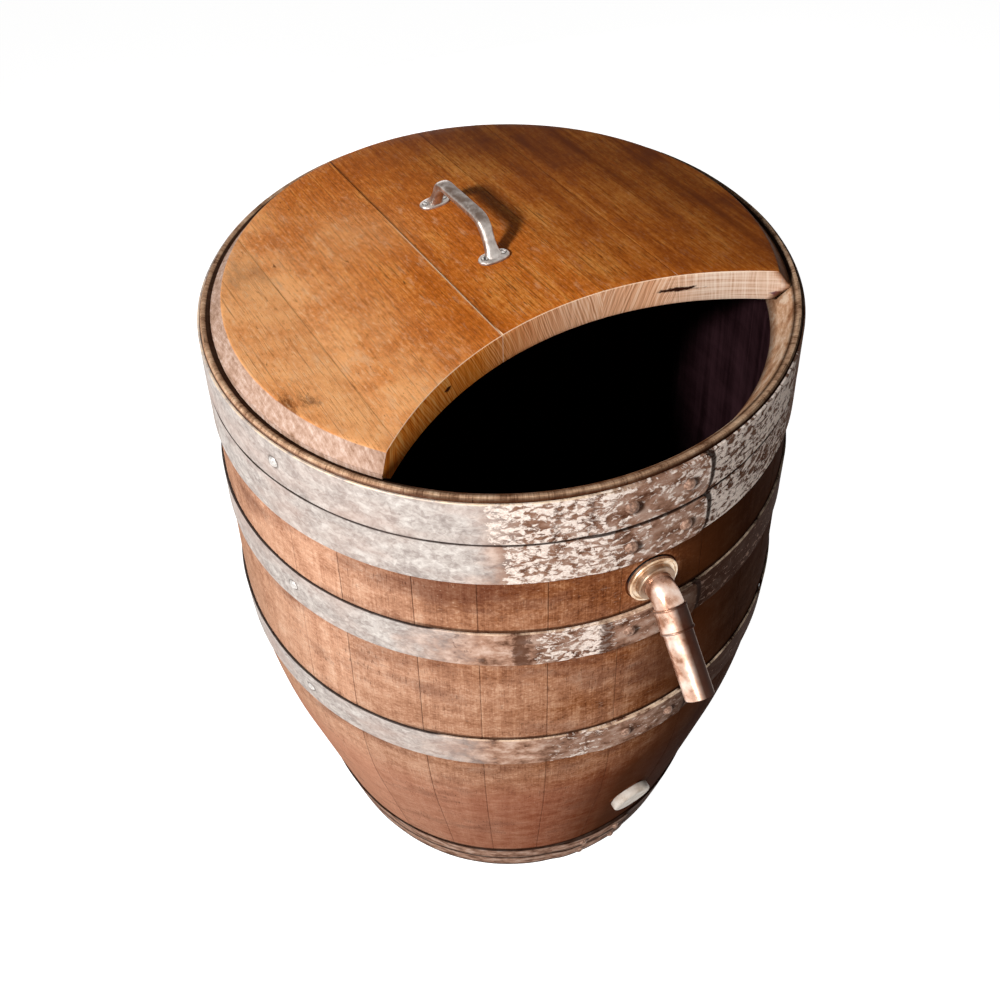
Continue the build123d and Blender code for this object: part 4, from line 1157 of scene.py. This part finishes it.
def dome(radius, height, shank_radius, shank, count=9):
    """Profile of a domed head on a shank: a spherical cap above zero and a cylinder below."""
    ball = (radius**2 + height**2) / (2 * height)
    t = np.linspace(0, math.asin(radius / ball), count)
    cap = np.stack([ball * np.sin(t), height - ball * (1 - np.cos(t))], -1).tolist()
    return cap + [(shank_radius, 0), (shank_radius, -shank), (0, -shank)]


def head_on_wall(azimuth, z, lift, *sizes):
    """Domed head square to the wall, lifted over the wood."""
    place, axes = wall_frame(azimuth, z)
    return lathe(dome(*sizes), place + axes[2] * lift, axes, 32, closed=False)


class BARREL_OT_fasteners(bpy.types.Operator):
    """Make the hoop rivets and the hoop nails"""

    bl_idname = "barrel.fasteners"
    bl_label = "Rivets and nails"

    def execute(self, context):
        rng = np.random.default_rng(12)
        rivets, nails = [], []
        radius, *sizes = RIVET_HEAD
        for name in HOOPS:
            middle = sum(hoop_edges(name)) / 2
            outside = float(outer_radius(middle)) + HOOP_GAP + HOOP_THICKNESS
            for distance in RIVETS:
                azimuth = LAP_AZIMUTH - math.degrees(distance / outside)
                lift = HOOP_GAP + 2 * HOOP_THICKNESS - RIVET_SINK
                rivets.append(head_on_wall(azimuth, middle, lift, radius * rng.uniform(0.94, 1.02), *sizes))
            if name in NAILED:
                lift = HOOP_GAP + HOOP_THICKNESS - NAIL_SINK
                nails.append(head_on_wall(NAIL_AZIMUTH, middle, lift, *NAIL_HEAD))
        make_piece("rivet_heads", shell(rivets), "rusty_steel", "barrel", "rivet_steel", "hoop_rivets")
        make_piece("nail_heads", shell(nails), "plated_steel", "barrel", "nail_steel", "hoop_nails")
        return {"FINISHED"}


def lid_board_surface(number, low, high, ease, rng):
    """One lid board as a stack of level grids between its two joints.

    At each level the grid runs across from joint to joint and along from the back circle
    u = -sqrt(r^2 - n^2) to the front one or, where it lies nearer, the curved cut u = D - sqrt(C^2 - n^2);
    r, C and the joints move in with the level to give the bevels and the eased edges.
    """
    half = (LID_TOP - LID_BOTTOM) / 2
    flat = LID_RADIUS - LID_LAND - LID_BEVEL
    drop = (half - LID_NOSE / 2) / LID_BEVEL
    # Height over the middle of the board, share of the easing taken off the joints, and radius
    levels = [(half, 0.9, flat - 0.7 * ease), (half - 0.3 * ease, 0.3, flat + 0.05 * ease)]
    levels += [(half - ease, 0.0, flat + ease / drop)]
    levels += [(half - drop * f * LID_BEVEL, 0.0, flat + f * LID_BEVEL) for f in (0.35, 0.65, 0.94)]
    levels += [(LID_NOSE / 2, 0.0, LID_RADIUS - LID_LAND), (LID_NOSE / 2 - 0.3 * MM, 0.0, LID_RADIUS)]
    levels += [(-z, inset, radius) for z, inset, radius in reversed(levels)]
    shows, clear = (JOINT_SHOWS.get(round(joint / MM), OUTER_JOINT) for joint in (low, high))
    opened = {joint: 0.3 + 0.7 * (JOINT_SHOWS[round(joint / MM)] > 0.5) for joint in LID_JOINTS}
    fraction = np.linspace(0, 1, BOARD_ROWS)
    phase = rng.uniform(0, 6.28, 4)
    tone = rng.uniform()
    points, marks = [], []
    for z, inset, radius in levels:
        first = max(low + inset * ease * opened.get(low, 0), -radius)
        last = min(high - inset * ease * opened.get(high, 0), radius)
        cut_radius = CUT_RADIUS + inset * ease
        reach = (CUT_DISTANCE**2 + radius**2 - cut_radius**2) / (2 * CUT_DISTANCE)
        tip = math.sqrt(max(radius**2 - reach**2, 0))
        tips = [t for t in (-tip, tip) if first < t < last]
        stops = [first + JOINT_MARGIN[-1], *tips, last - JOINT_MARGIN[-1]]
        count = BOARD_COLUMNS // (len(stops) - 1)
        n = [np.linspace(*ends, count, endpoint=False) for ends in zip(stops, stops[1:])]
        n = np.concatenate([first + JOINT_MARGIN[:-1], *n, last - JOINT_MARGIN[::-1]])[:, None]
        round_edge = np.sqrt(np.maximum(radius**2 - n**2, 0))
        cut = CUT_DISTANCE - np.sqrt(np.maximum(cut_radius**2 - n**2, 0))
        front = np.where(np.abs(n) < tip, np.minimum(cut, round_edge), round_edge)
        u = -round_edge + (front + round_edge) * fraction
        wave = 0.22 * MM * np.sin(14 * u + phase[0]) * np.sin(30 * n + phase[1]) - 0.2 * MM
        grid = board_point(u, n, (LID_TOP + LID_BOTTOM) / 2 + z + (wave if z >= half - 0.4 * ease else 0))
        x, y = grid[..., 0], grid[..., 1]

        at_front = (fraction == 1) & (np.abs(n) < tip - 0.1 * MM)
        at_round = (fraction == 0) | ((fraction == 1) & ~at_front) | (np.abs(n) > radius - 0.6 * MM)
        in_cut = at_front & (inset < 0.5)
        front_half = step(*LID_FRONT, u)
        beside = step(1.3 * MM, 0.3 * MM, np.where(low > -LID_RADIUS, n - first, 1))
        beside = beside * (0.9 if inset < 0.5 else 0.6) * (1 - 0.3 * front_half)
        ahead = step(1.3 * MM, 0.3 * MM, np.where(high < LID_RADIUS, last - n, 1)) * 0.85
        off_pale = np.abs(wrapped(np.degrees(np.arctan2(y, x)) - BEVEL_PALE_SIDE))
        # Painted shade over the right back of the lid, stronger at the back and by the rim
        shade_by_rim = (0.2 + 0.4 * step(*LID_SHADE_BACK, y)) * step(*LID_SHADE_RIM, np.hypot(x, y))
        # Wear and painted light make the left front of the lid paler
        bleach = step(*LID_WEAR_AND_LIGHT, -0.75 * x - 0.65 * y)
        scuffed = np.exp(-((np.hypot(x - LID_SCUFF[0], y - LID_SCUFF[1]) / LID_SCUFF[2]) ** 2))
        looks = {
            "uv": np.stack(np.broadcast_arrays(u + BOARD_SHIFT[0] * number, n + BOARD_SHIFT[1] * number), -1),
            "tone": tone,
            "bevel": at_round & (inset < 0.1),
            "cut": in_cut,
            "pale": 1 - step(*BEVEL_FADE, off_pale),
            "growth": n,
            "dusk": step(*LID_SHADE, 0.75 * x + 0.95 * y) * (1 + shade_by_rim),
            "bleach": np.maximum(bleach, 0.75 * scuffed),
            "under": (z < -LID_NOSE) & ~in_cut,
            # painted highlight along the top edge of the cut and beside the plainest joint
            "arris": np.maximum(at_front * (0 < half - z < 0.8 * ease), (clear > 0.5) * ahead * front_half),
            "seam": np.maximum(beside * shows, (clear <= 0.5) * clear * ahead),
        }
        points.append(grid.reshape(-1, 3))
        marks.append(spread(looks, grid.shape[:2]))

    columns, count = len(n), len(points[0])
    at = np.arange(count).reshape(columns, BOARD_ROWS)
    border = np.concatenate([at[:-1, 0], at[-1, :-1], at[:0:-1, -1], at[0, :0:-1]])
    top = grid_faces(columns, BOARD_ROWS)
    faces = top.tolist() + (top + (len(levels) - 1) * count).tolist()
    for level in range(len(levels) - 1):
        here, below = border + level * count, border + (level + 1) * count
        faces += np.stack([here, np.roll(here, -1), np.roll(below, -1), below], -1).tolist()
    marks = {name: np.concatenate([mark[name] for mark in marks]) for name in looks}
    return np.concatenate(points), faces, marks


class BARREL_OT_lid(bpy.types.Operator):
    """Make the lid boards with their bevel, joints and curved cut, and finish what is under the lid"""

    bl_idname = "barrel.lid"
    bl_label = "Lid"

    def execute(self, context):
        rng = np.random.default_rng(5)
        ease = context.scene.water_barrel.lid_ease
        edges = (-LID_RADIUS, *LID_JOINTS, LID_RADIUS)
        for number, (low, high) in enumerate(zip(edges, edges[1:]), start=1):
            surface = lid_board_surface(number, low, high, ease, rng)
            node = f"lid_board_{number}"
            make_piece(node + "_oak", surface, "honey_oak", "lid", "head_oak", node, sharp=32)
        dress_nodes(["lid_battens", "lid_dowels"], "plain_oak")
        dress_nodes(["batten_screws"], "plated_steel")
        return {"FINISHED"}


def handle_path():
    """Line of the bar in its own upright plane: up one leaning leg, round a bend, along the grip and down."""
    top = HANDLE_HEIGHT - HANDLE_SECTION[1] / 2
    leg = math.atan2(top, HANDLE_LEAN)
    setback = HANDLE_BEND * math.tan(leg / 2)
    corner = np.array([HANDLE_LEAN - HANDLE_LEG, top])
    start = np.array([-HANDLE_LEG, 0.0])
    up = (corner - start) / np.linalg.norm(corner - start)
    centre = corner + np.array([setback, -HANDLE_BEND])
    turn = np.linspace(math.pi / 2 + leg, math.pi / 2, 12)
    bend = centre + HANDLE_BEND * np.stack([np.cos(turn), np.sin(turn)], -1)
    foot = start + np.linspace(0, 1, 14)[:-1, None] * (corner - up * setback - start)
    grip = np.stack([np.linspace(bend[-1, 0], 0, 12)[1:], np.full(11, top)], -1)
    left = np.concatenate([foot, bend, grip])
    return np.concatenate([left, left[-2::-1] * (-1, 1)])


def handle_surface():
    """The cast handle: a rounded bar carried along its path, and two domed feet.

    The bar's section is the superellipse |x/a|^2.6 + |y/b|^2.6 = 1, widened near each foot like a cast
    fillet. Each foot is a stack of shrinking superellipses of the power 2.4.
    """
    path = handle_path()
    tangent = np.gradient(path, axis=0)
    tangent /= np.linalg.norm(tangent, axis=1, keepdims=True)
    normal = np.stack([-tangent[:, 1], tangent[:, 0]], -1)
    side, rise = superellipse(HANDLE_STEPS, HANDLE_SECTION[0] / 2, HANDLE_SECTION[1] / 2, HANDLE_POWER)
    flare = 1 + 0.3 * np.exp(-np.maximum(path[:, 1] - FOOT_SIZE[2], 0) / (2.5 * MM))
    waist = 1 - 0.1 * np.exp(-(((path[:, 1] - HANDLE_WAIST[0]) / HANDLE_WAIST[1]) ** 2))
    wide = (flare * waist)[:, None]
    along = path[:, :1] + normal[:, :1] * rise * wide
    high = np.maximum(path[:, 1:] + normal[:, 1:] * rise * wide, 0.2 * MM)
    points = board_point(HANDLE_CENTRE + along, HANDLE_SIDE + side * wide, LID_TOP + high)
    # Painted dark reflection on top of the grip
    dull = step(0.62, 0.9, path[:, 1:] / HANDLE_HEIGHT) * step(0.35, 0.8, 2 * rise / HANDLE_SECTION[1])
    parts = [(points.reshape(-1, 3), capped(len(path), HANDLE_STEPS), {"dull": dull.ravel()})]

    short, long, thick = FOOT_SIZE
    x, y = superellipse(FOOT_STEPS, short, long, FOOT_POWER)
    scale, height = np.array(FOOT_RINGS).T[..., None]
    faces = capped(len(FOOT_RINGS), FOOT_STEPS, (True, False))
    for end in (-HANDLE_LEG, HANDLE_LEG):
        foot = board_point(HANDLE_CENTRE + end + scale * x, HANDLE_SIDE + scale * y, LID_TOP + thick * height)
        parts.append((foot.reshape(-1, 3), faces, spread({"dull": 0.0}, foot.shape[:2])))
    return shell(parts)


def screw_surface(place, axes):
    """Slotted screw: a dome on a polar grid, pressed in where its point lies on the slot."""
    radius, height = SCREW_HEAD
    rings = SCREW_RINGS[:, None]
    turn = turned(SCREW_STEPS)
    off = np.abs(rings * radius * np.sin(turn))
    h = height * np.sqrt(np.clip(1 - (rings * 0.96) ** 2, 0, 1)) - 0.3 * height
    h = h - SCREW_SLOT * step(0.75 * MM, 0.5 * MM, off)
    x, y, z = axes
    flat = (rings * radius)[..., None] * (np.cos(turn)[:, None] * x + np.sin(turn)[:, None] * y)
    points = place + flat + h[..., None] * z
    base = points[0] - z * (h[0, 0] + 4 * MM)
    points = np.concatenate([base[None], points])
    # Painted shade in the slot, round the edge of the head and under it
    dirty = np.maximum(step(1.5 * MM, 0.9 * MM, off), step(0.74, 0.86, rings))
    dirty = np.concatenate([np.ones((1, SCREW_STEPS)), dirty])
    return points.reshape(-1, 3), capped(len(points), SCREW_STEPS, (True, False)), {"dirty": dirty.ravel()}


class BARREL_OT_handle(bpy.types.Operator):
    """Make the cast handle and its four screws"""

    bl_idname = "barrel.handle"
    bl_label = "Handle"

    def execute(self, context):
        bar = handle_surface()
        make_piece("handle_casting", bar, "tumbled_aluminium", "lid", "cast_aluminium", "handle", sharp=50)
        screws = []
        along, across, up = (board_point(*axis) for axis in np.eye(3))
        for index, (x, y) in enumerate([(x, y) for x in (-1, 1) for y in (-1, 1)]):
            place = (HANDLE_CENTRE + x * HANDLE_LEG, HANDLE_SIDE + y * SCREW_SIDE, LID_TOP + FOOT_SIZE[2])
            turn = 0.4 + 1.1 * index
            right = math.cos(turn) * along + math.sin(turn) * across
            ahead = math.cos(turn) * across - math.sin(turn) * along
            screws.append(screw_surface(board_point(*place), (right, ahead, up)))
        heads = shell(screws)
        make_piece(
            "handle_screw_heads", heads, "plated_steel", "lid", "screw_steel", "handle_screws", sharp=50
        )
        return {"FINISHED"}


def around_pipe(points, place, axes):
    """Marks of a straight pipe: sine and cosine of each point's angle, as on the bend, and its beads."""
    local = (points - place) @ np.stack(axes, 1)
    reach = np.hypot(local[:, 0], local[:, 1])
    bead = step(*BEAD_EDGE, reach)
    return {"around": local[:, 1] / reach, "side": local[:, 0] / reach, "joint": bead}


class BARREL_OT_spout(bpy.types.Operator):
    """Make the brass fitting, copper elbow, beaded sleeve and open tube of the overflow"""

    bl_idname = "barrel.spout"
    bl_label = "Overflow spout"

    def execute(self, context):
        place, wall_axes = wall_frame(*SPOUT)
        tangent, up, outward = wall_axes
        fitting = [(PIPE_BORE, -TAIL[1]), (TAIL[0], -TAIL[1]), (TAIL[0], 0), *in_mm((25.6, 0), (26, 0.5))]
        fitting += round_corner((24.6, 3.1), 1.4, 0, 90)
        fitting += in_mm((23.6, 4.4), (22.8, 3.3), (20.6, 3.1), (19.5, 3.6))
        fitting += round_corner((18.1, 8.6), 1.4, 0, 90)
        fitting += [(14.5 * MM, COLLAR_HEIGHT), (PIPE_SOCKET, 9.6 * MM)]
        fitting += [(PIPE_SOCKET, COLLAR_HEIGHT - SOCKET_DEPTH), (PIPE_BORE, COLLAR_HEIGHT - SOCKET_DEPTH)]
        points, faces, _ = lathe(fitting, place, wall_axes, 72)
        # Painted shade on the collar, under the elbow
        tarnish = np.repeat(step(*COLLAR_SHADE, np.array(fitting)[:, 0]), 72)
        rim = (points, faces, {"tarnish": tarnish})
        make_piece("spout_flange", rim, "turned_brass", "barrel", "fitting_brass", "spout_fitting", sharp=35)

        turn, bend = math.radians(SPOUT_TURN), math.radians(ELBOW_ANGLE)
        down = tangent * math.sin(turn) - up * math.cos(turn)
        setback = ELBOW_RADIUS * math.tan(bend / 2)
        corner = place + outward * (COLLAR_HEIGHT + ELBOW_STUB + setback)
        way = outward * math.cos(bend) + down * math.sin(bend)
        side = np.cross(outward, down)
        axes = (side, np.cross(way, side), way)
        angle = np.linspace(0, bend, 16)
        centre = corner - outward * setback + down * ELBOW_RADIUS
        arc = centre + ELBOW_RADIUS * (np.sin(angle)[:, None] * outward - np.cos(angle)[:, None] * down)
        start = place + outward * (COLLAR_HEIGHT - SOCKET_DEPTH)
        straight = start + np.linspace(0, 1, 5)[:-1, None] * (arc[0] - start)
        sleeve_start = setback + ELBOW_STUB
        sleeve_middle = sleeve_start + SLEEVE_LENGTH / 2
        last = arc[-1] + np.linspace(0, 1, 6)[1:, None] * (corner + way * sleeve_middle - arc[-1])
        elbow = tube(np.concatenate([straight, arc, last]), side, PIPE_RADIUS, PIPE_BORE)
        make_piece("spout_bend", elbow, "copper_pipe", "barrel", "copper", "spout_elbow")

        end = SLEEVE_LENGTH / MM
        sleeve = [(PIPE_SOCKET, 0), (15 * MM, 0), *round_corner((15.1, 1.2), 1.2, -80, 80, 8)]
        sleeve += in_mm((15.5, 2.6), (15.5, end - 2.6))
        sleeve += round_corner((15.1, end - 1.2), 1.2, -80, 80, 8)
        sleeve += [(15 * MM, SLEEVE_LENGTH), (PIPE_SOCKET, SLEEVE_LENGTH)]
        length = SLEEVE_LENGTH / 2 + SPOUT_TUBE
        pipe = [(PIPE_BORE, 0), (PIPE_RADIUS, 0), (PIPE_RADIUS, length / 2), (PIPE_RADIUS, length - 0.5 * MM)]
        pipe += [(13.7 * MM, length), (13 * MM, length)]
        pipe += [(PIPE_BORE, length - 0.3 * MM), (PIPE_BORE, length / 2)]
        straights = (
            ("spout_socket", "spout_sleeve", sleeve, sleeve_start),
            ("spout_pipe", "spout_tube", pipe, sleeve_middle),
        )
        for name, node, profile, start in straights:
            points, faces, _ = lathe(profile, corner + way * start, axes)
            surface = (points, faces, around_pipe(points, corner, axes))
            make_piece(name, surface, "copper_pipe", "barrel", "copper", node)
        dress_nodes(["spout_locknut"], "turned_brass")
        dress_nodes(["spout_gasket"], "black_rubber")
        return {"FINISHED"}


class BARREL_OT_bung(bpy.types.Operator):
    """Make the drain bung"""

    bl_idname = "barrel.bung"
    bl_label = "Drain bung"

    def execute(self, context):
        profile = in_mm((0, -34), (21.2, -34), (22.4, -33), (24.2, 0.3), (28.2, 0.3), (28.9, 1.2))
        profile += round_corner((24.9, 7.4), 4, -8, 84, 9)
        profile += in_mm((18, 11.2), (9, 10.9), (0, 10.8))
        surface = lathe(profile, *wall_frame(*BUNG), 72, closed=False)
        make_piece("drain_plug", surface, "white_silicone", "bung", "bung_silicone", "bung", sharp=45)
        return {"FINISHED"}


class BARREL_OT_bottom(bpy.types.Operator):
    """Finish the bottom boards and their pegs"""

    bl_idname = "barrel.bottom"
    bl_label = "Bottom head"

    def execute(self, context):
        dress_nodes([f"bottom_board_{n}" for n in range(1, 6)] + ["bottom_dowels"], "plain_oak")
        return {"FINISHED"}


def seen_by_eye(put, hidden, seen):
    """One value for rays that reach the eye straight, mirrored or through glass, and another for the rest."""
    path = put("LightPath").node.outputs
    eye = path["Is Camera Ray"]
    for kind in ("Is Glossy Ray", "Is Transmission Ray"):
        eye = put("Math", eye, path[kind], operation="MAXIMUM")
    return put("MapRange", eye, 0.0, 1.0, hidden, seen)


class BARREL_OT_stage(bpy.types.Operator):
    """Make the pale floor, the soft lights and the camera"""

    bl_idname = "barrel.stage"
    bl_label = "Stage"

    def execute(self, context):
        scene = context.scene
        look = scene.water_barrel
        scene.view_settings.view_transform = "Standard"
        mesh = bpy.data.meshes.new("floor")
        corners = [(x * FLOOR_SIZE, y * FLOOR_SIZE, 0) for x, y in ((-1, -1), (1, -1), (1, 1), (-1, 1))]
        mesh.from_pydata(corners, [], [(0, 1, 2, 3)])
        floor = linked("floor", mesh)
        material, put = new_material("pale_floor", look.floor)
        glow = put("Emission", Color=(1, 1, 1, 1), Strength=seen_by_eye(put, 0.0, FLOOR_GLOW))
        paint = put("BsdfDiffuse", Color=look.floor)
        put("OutputMaterial", put("AddShader", paint, glow))
        mesh.materials.append(material)

        world = bpy.data.worlds.new("studio")
        scene.world = world
        world.use_nodes = True
        world.node_tree.nodes.clear()
        put = partial(add_node, world.node_tree)
        put("OutputWorld", put("Background", (1, 1, 1, 1), seen_by_eye(put, look.ambient, 1.0)))

        for name, place, height, width in LAMPS:
            lamp = bpy.data.lights.new(name, "AREA")
            lamp.size = width
            lamp.energy = getattr(look, name)
            light = linked(name, lamp)
            light.location = place
            way = Vector((0, 0, height)) - Vector(place)
            light.rotation_euler = way.to_track_quat("-Z", "Y").to_euler()

        pitch, yaw, roll = (math.radians(v) for v in (CAMERA_PITCH, CAMERA_YAW, CAMERA_ROLL))
        ahead = Vector((math.sin(yaw) * math.cos(pitch), math.cos(yaw) * math.cos(pitch), -math.sin(pitch)))
        right = ahead.cross(Vector((0, 0, 1))).normalized()
        up = right.cross(ahead)
        x = right * math.cos(roll) + up * math.sin(roll)
        y = up * math.cos(roll) - right * math.sin(roll)
        data = bpy.data.cameras.new("camera")
        data.lens = CAMERA_LENS
        data.sensor_width = CAMERA_SENSOR
        data.clip_start = CAMERA_NEAREST
        camera = linked("camera", data)
        camera.matrix_world = Matrix.Translation(CAMERA_PLACE) @ Matrix((x, y, -ahead)).transposed().to_4x4()
        scene.camera = camera
        return {"FINISHED"}


def colour_setting(name, words, code):
    """A colour that a user may change; its default is an sRGB hex code."""
    return bpy.props.FloatVectorProperty(
        name=name, description=words, subtype="COLOR", size=4, min=0, max=1, default=linear(code)
    )


def number_setting(name, words, value, unit, **limits):
    """A size or a light level that a user may change."""
    return bpy.props.FloatProperty(name=name, description=words, default=value, unit=unit, **limits)


class WaterBarrelSettings(bpy.types.PropertyGroup):
    """Sizes, viewport colours and light levels of the water barrel"""

    joint_ease: number_setting("Joint easing", "Rounding of the stave edges", 1.1 * MM, "LENGTH")
    lid_ease: number_setting("Lid easing", "Rounding of the lid board edges", 1.0 * MM, "LENGTH")
    stave_oak: colour_setting("Stave oak", "Weathered staves", "#9c6a50")
    zinc: colour_setting("Zinc", "Galvanised hoops", "#b8b0a9")
    rust: colour_setting("Rust", "Rivets", "#6f4a38")
    plate: colour_setting("Plated steel", "Nails and screws", "#c4beb8")
    lid_oak: colour_setting("Lid oak", "Oiled lid boards", "#bd7036")
    plain_oak: colour_setting("Plain oak", "Bottom boards, battens and pegs", "#85603f")
    aluminium: colour_setting("Aluminium", "Cast handle", "#d0cbc6")
    copper: colour_setting("Copper", "Spout pipe", "#d89a7a")
    brass: colour_setting("Brass", "Spout fitting", "#c39a62")
    silicone: colour_setting("Silicone", "Drain bung", "#e2d6c9")
    rubber: colour_setting("Rubber", "Gasket", "#1f1d1c")
    floor: colour_setting("Floor", "Pale floor", "#c4c3c1")
    key: number_setting("Key light", "Lamp over the front left", 35, "POWER")
    front: number_setting("Front light", "Lamp at the front", 14, "POWER")
    back: number_setting("Back light", "Low lamp behind", 14, "POWER")
    side: number_setting("Side light", "Low lamp at the right", 1, "POWER")
    ambient: number_setting("Ambient", "Light from all round", 0.05, "NONE", min=0)


OPERATORS = (
    BARREL_OT_staves,
    BARREL_OT_hoops,
    BARREL_OT_fasteners,
    BARREL_OT_lid,
    BARREL_OT_handle,
    BARREL_OT_spout,
    BARREL_OT_bung,
    BARREL_OT_bottom,
    BARREL_OT_stage,
)


class BARREL_PT_panel(bpy.types.Panel):
    """Lists the steps that dress the barrel"""

    bl_idname = "BARREL_PT_panel"
    bl_label = "Water barrel"
    bl_space_type = "VIEW_3D"
    bl_region_type = "UI"
    bl_category = "Barrel"

    def draw(self, context):
        for operator in OPERATORS:
            self.layout.operator(operator.bl_idname)
        settings = context.scene.water_barrel
        for name in settings.__annotations__:
            self.layout.prop(settings, name)


CLASSES = (WaterBarrelSettings, *OPERATORS, BARREL_PT_panel)


def register():
    for cls in CLASSES:
        bpy.utils.register_class(cls)
    bpy.types.Scene.water_barrel = bpy.props.PointerProperty(type=WaterBarrelSettings)


def unregister():
    del bpy.types.Scene.water_barrel
    for cls in reversed(CLASSES):
        bpy.utils.unregister_class(cls)


def main():
    """Dresses the whole barrel."""
    register()
    for operator in OPERATORS:
        group, name = operator.bl_idname.split(".")
        getattr(getattr(bpy.ops, group), name)()


if __name__ == "__main__":
    main()
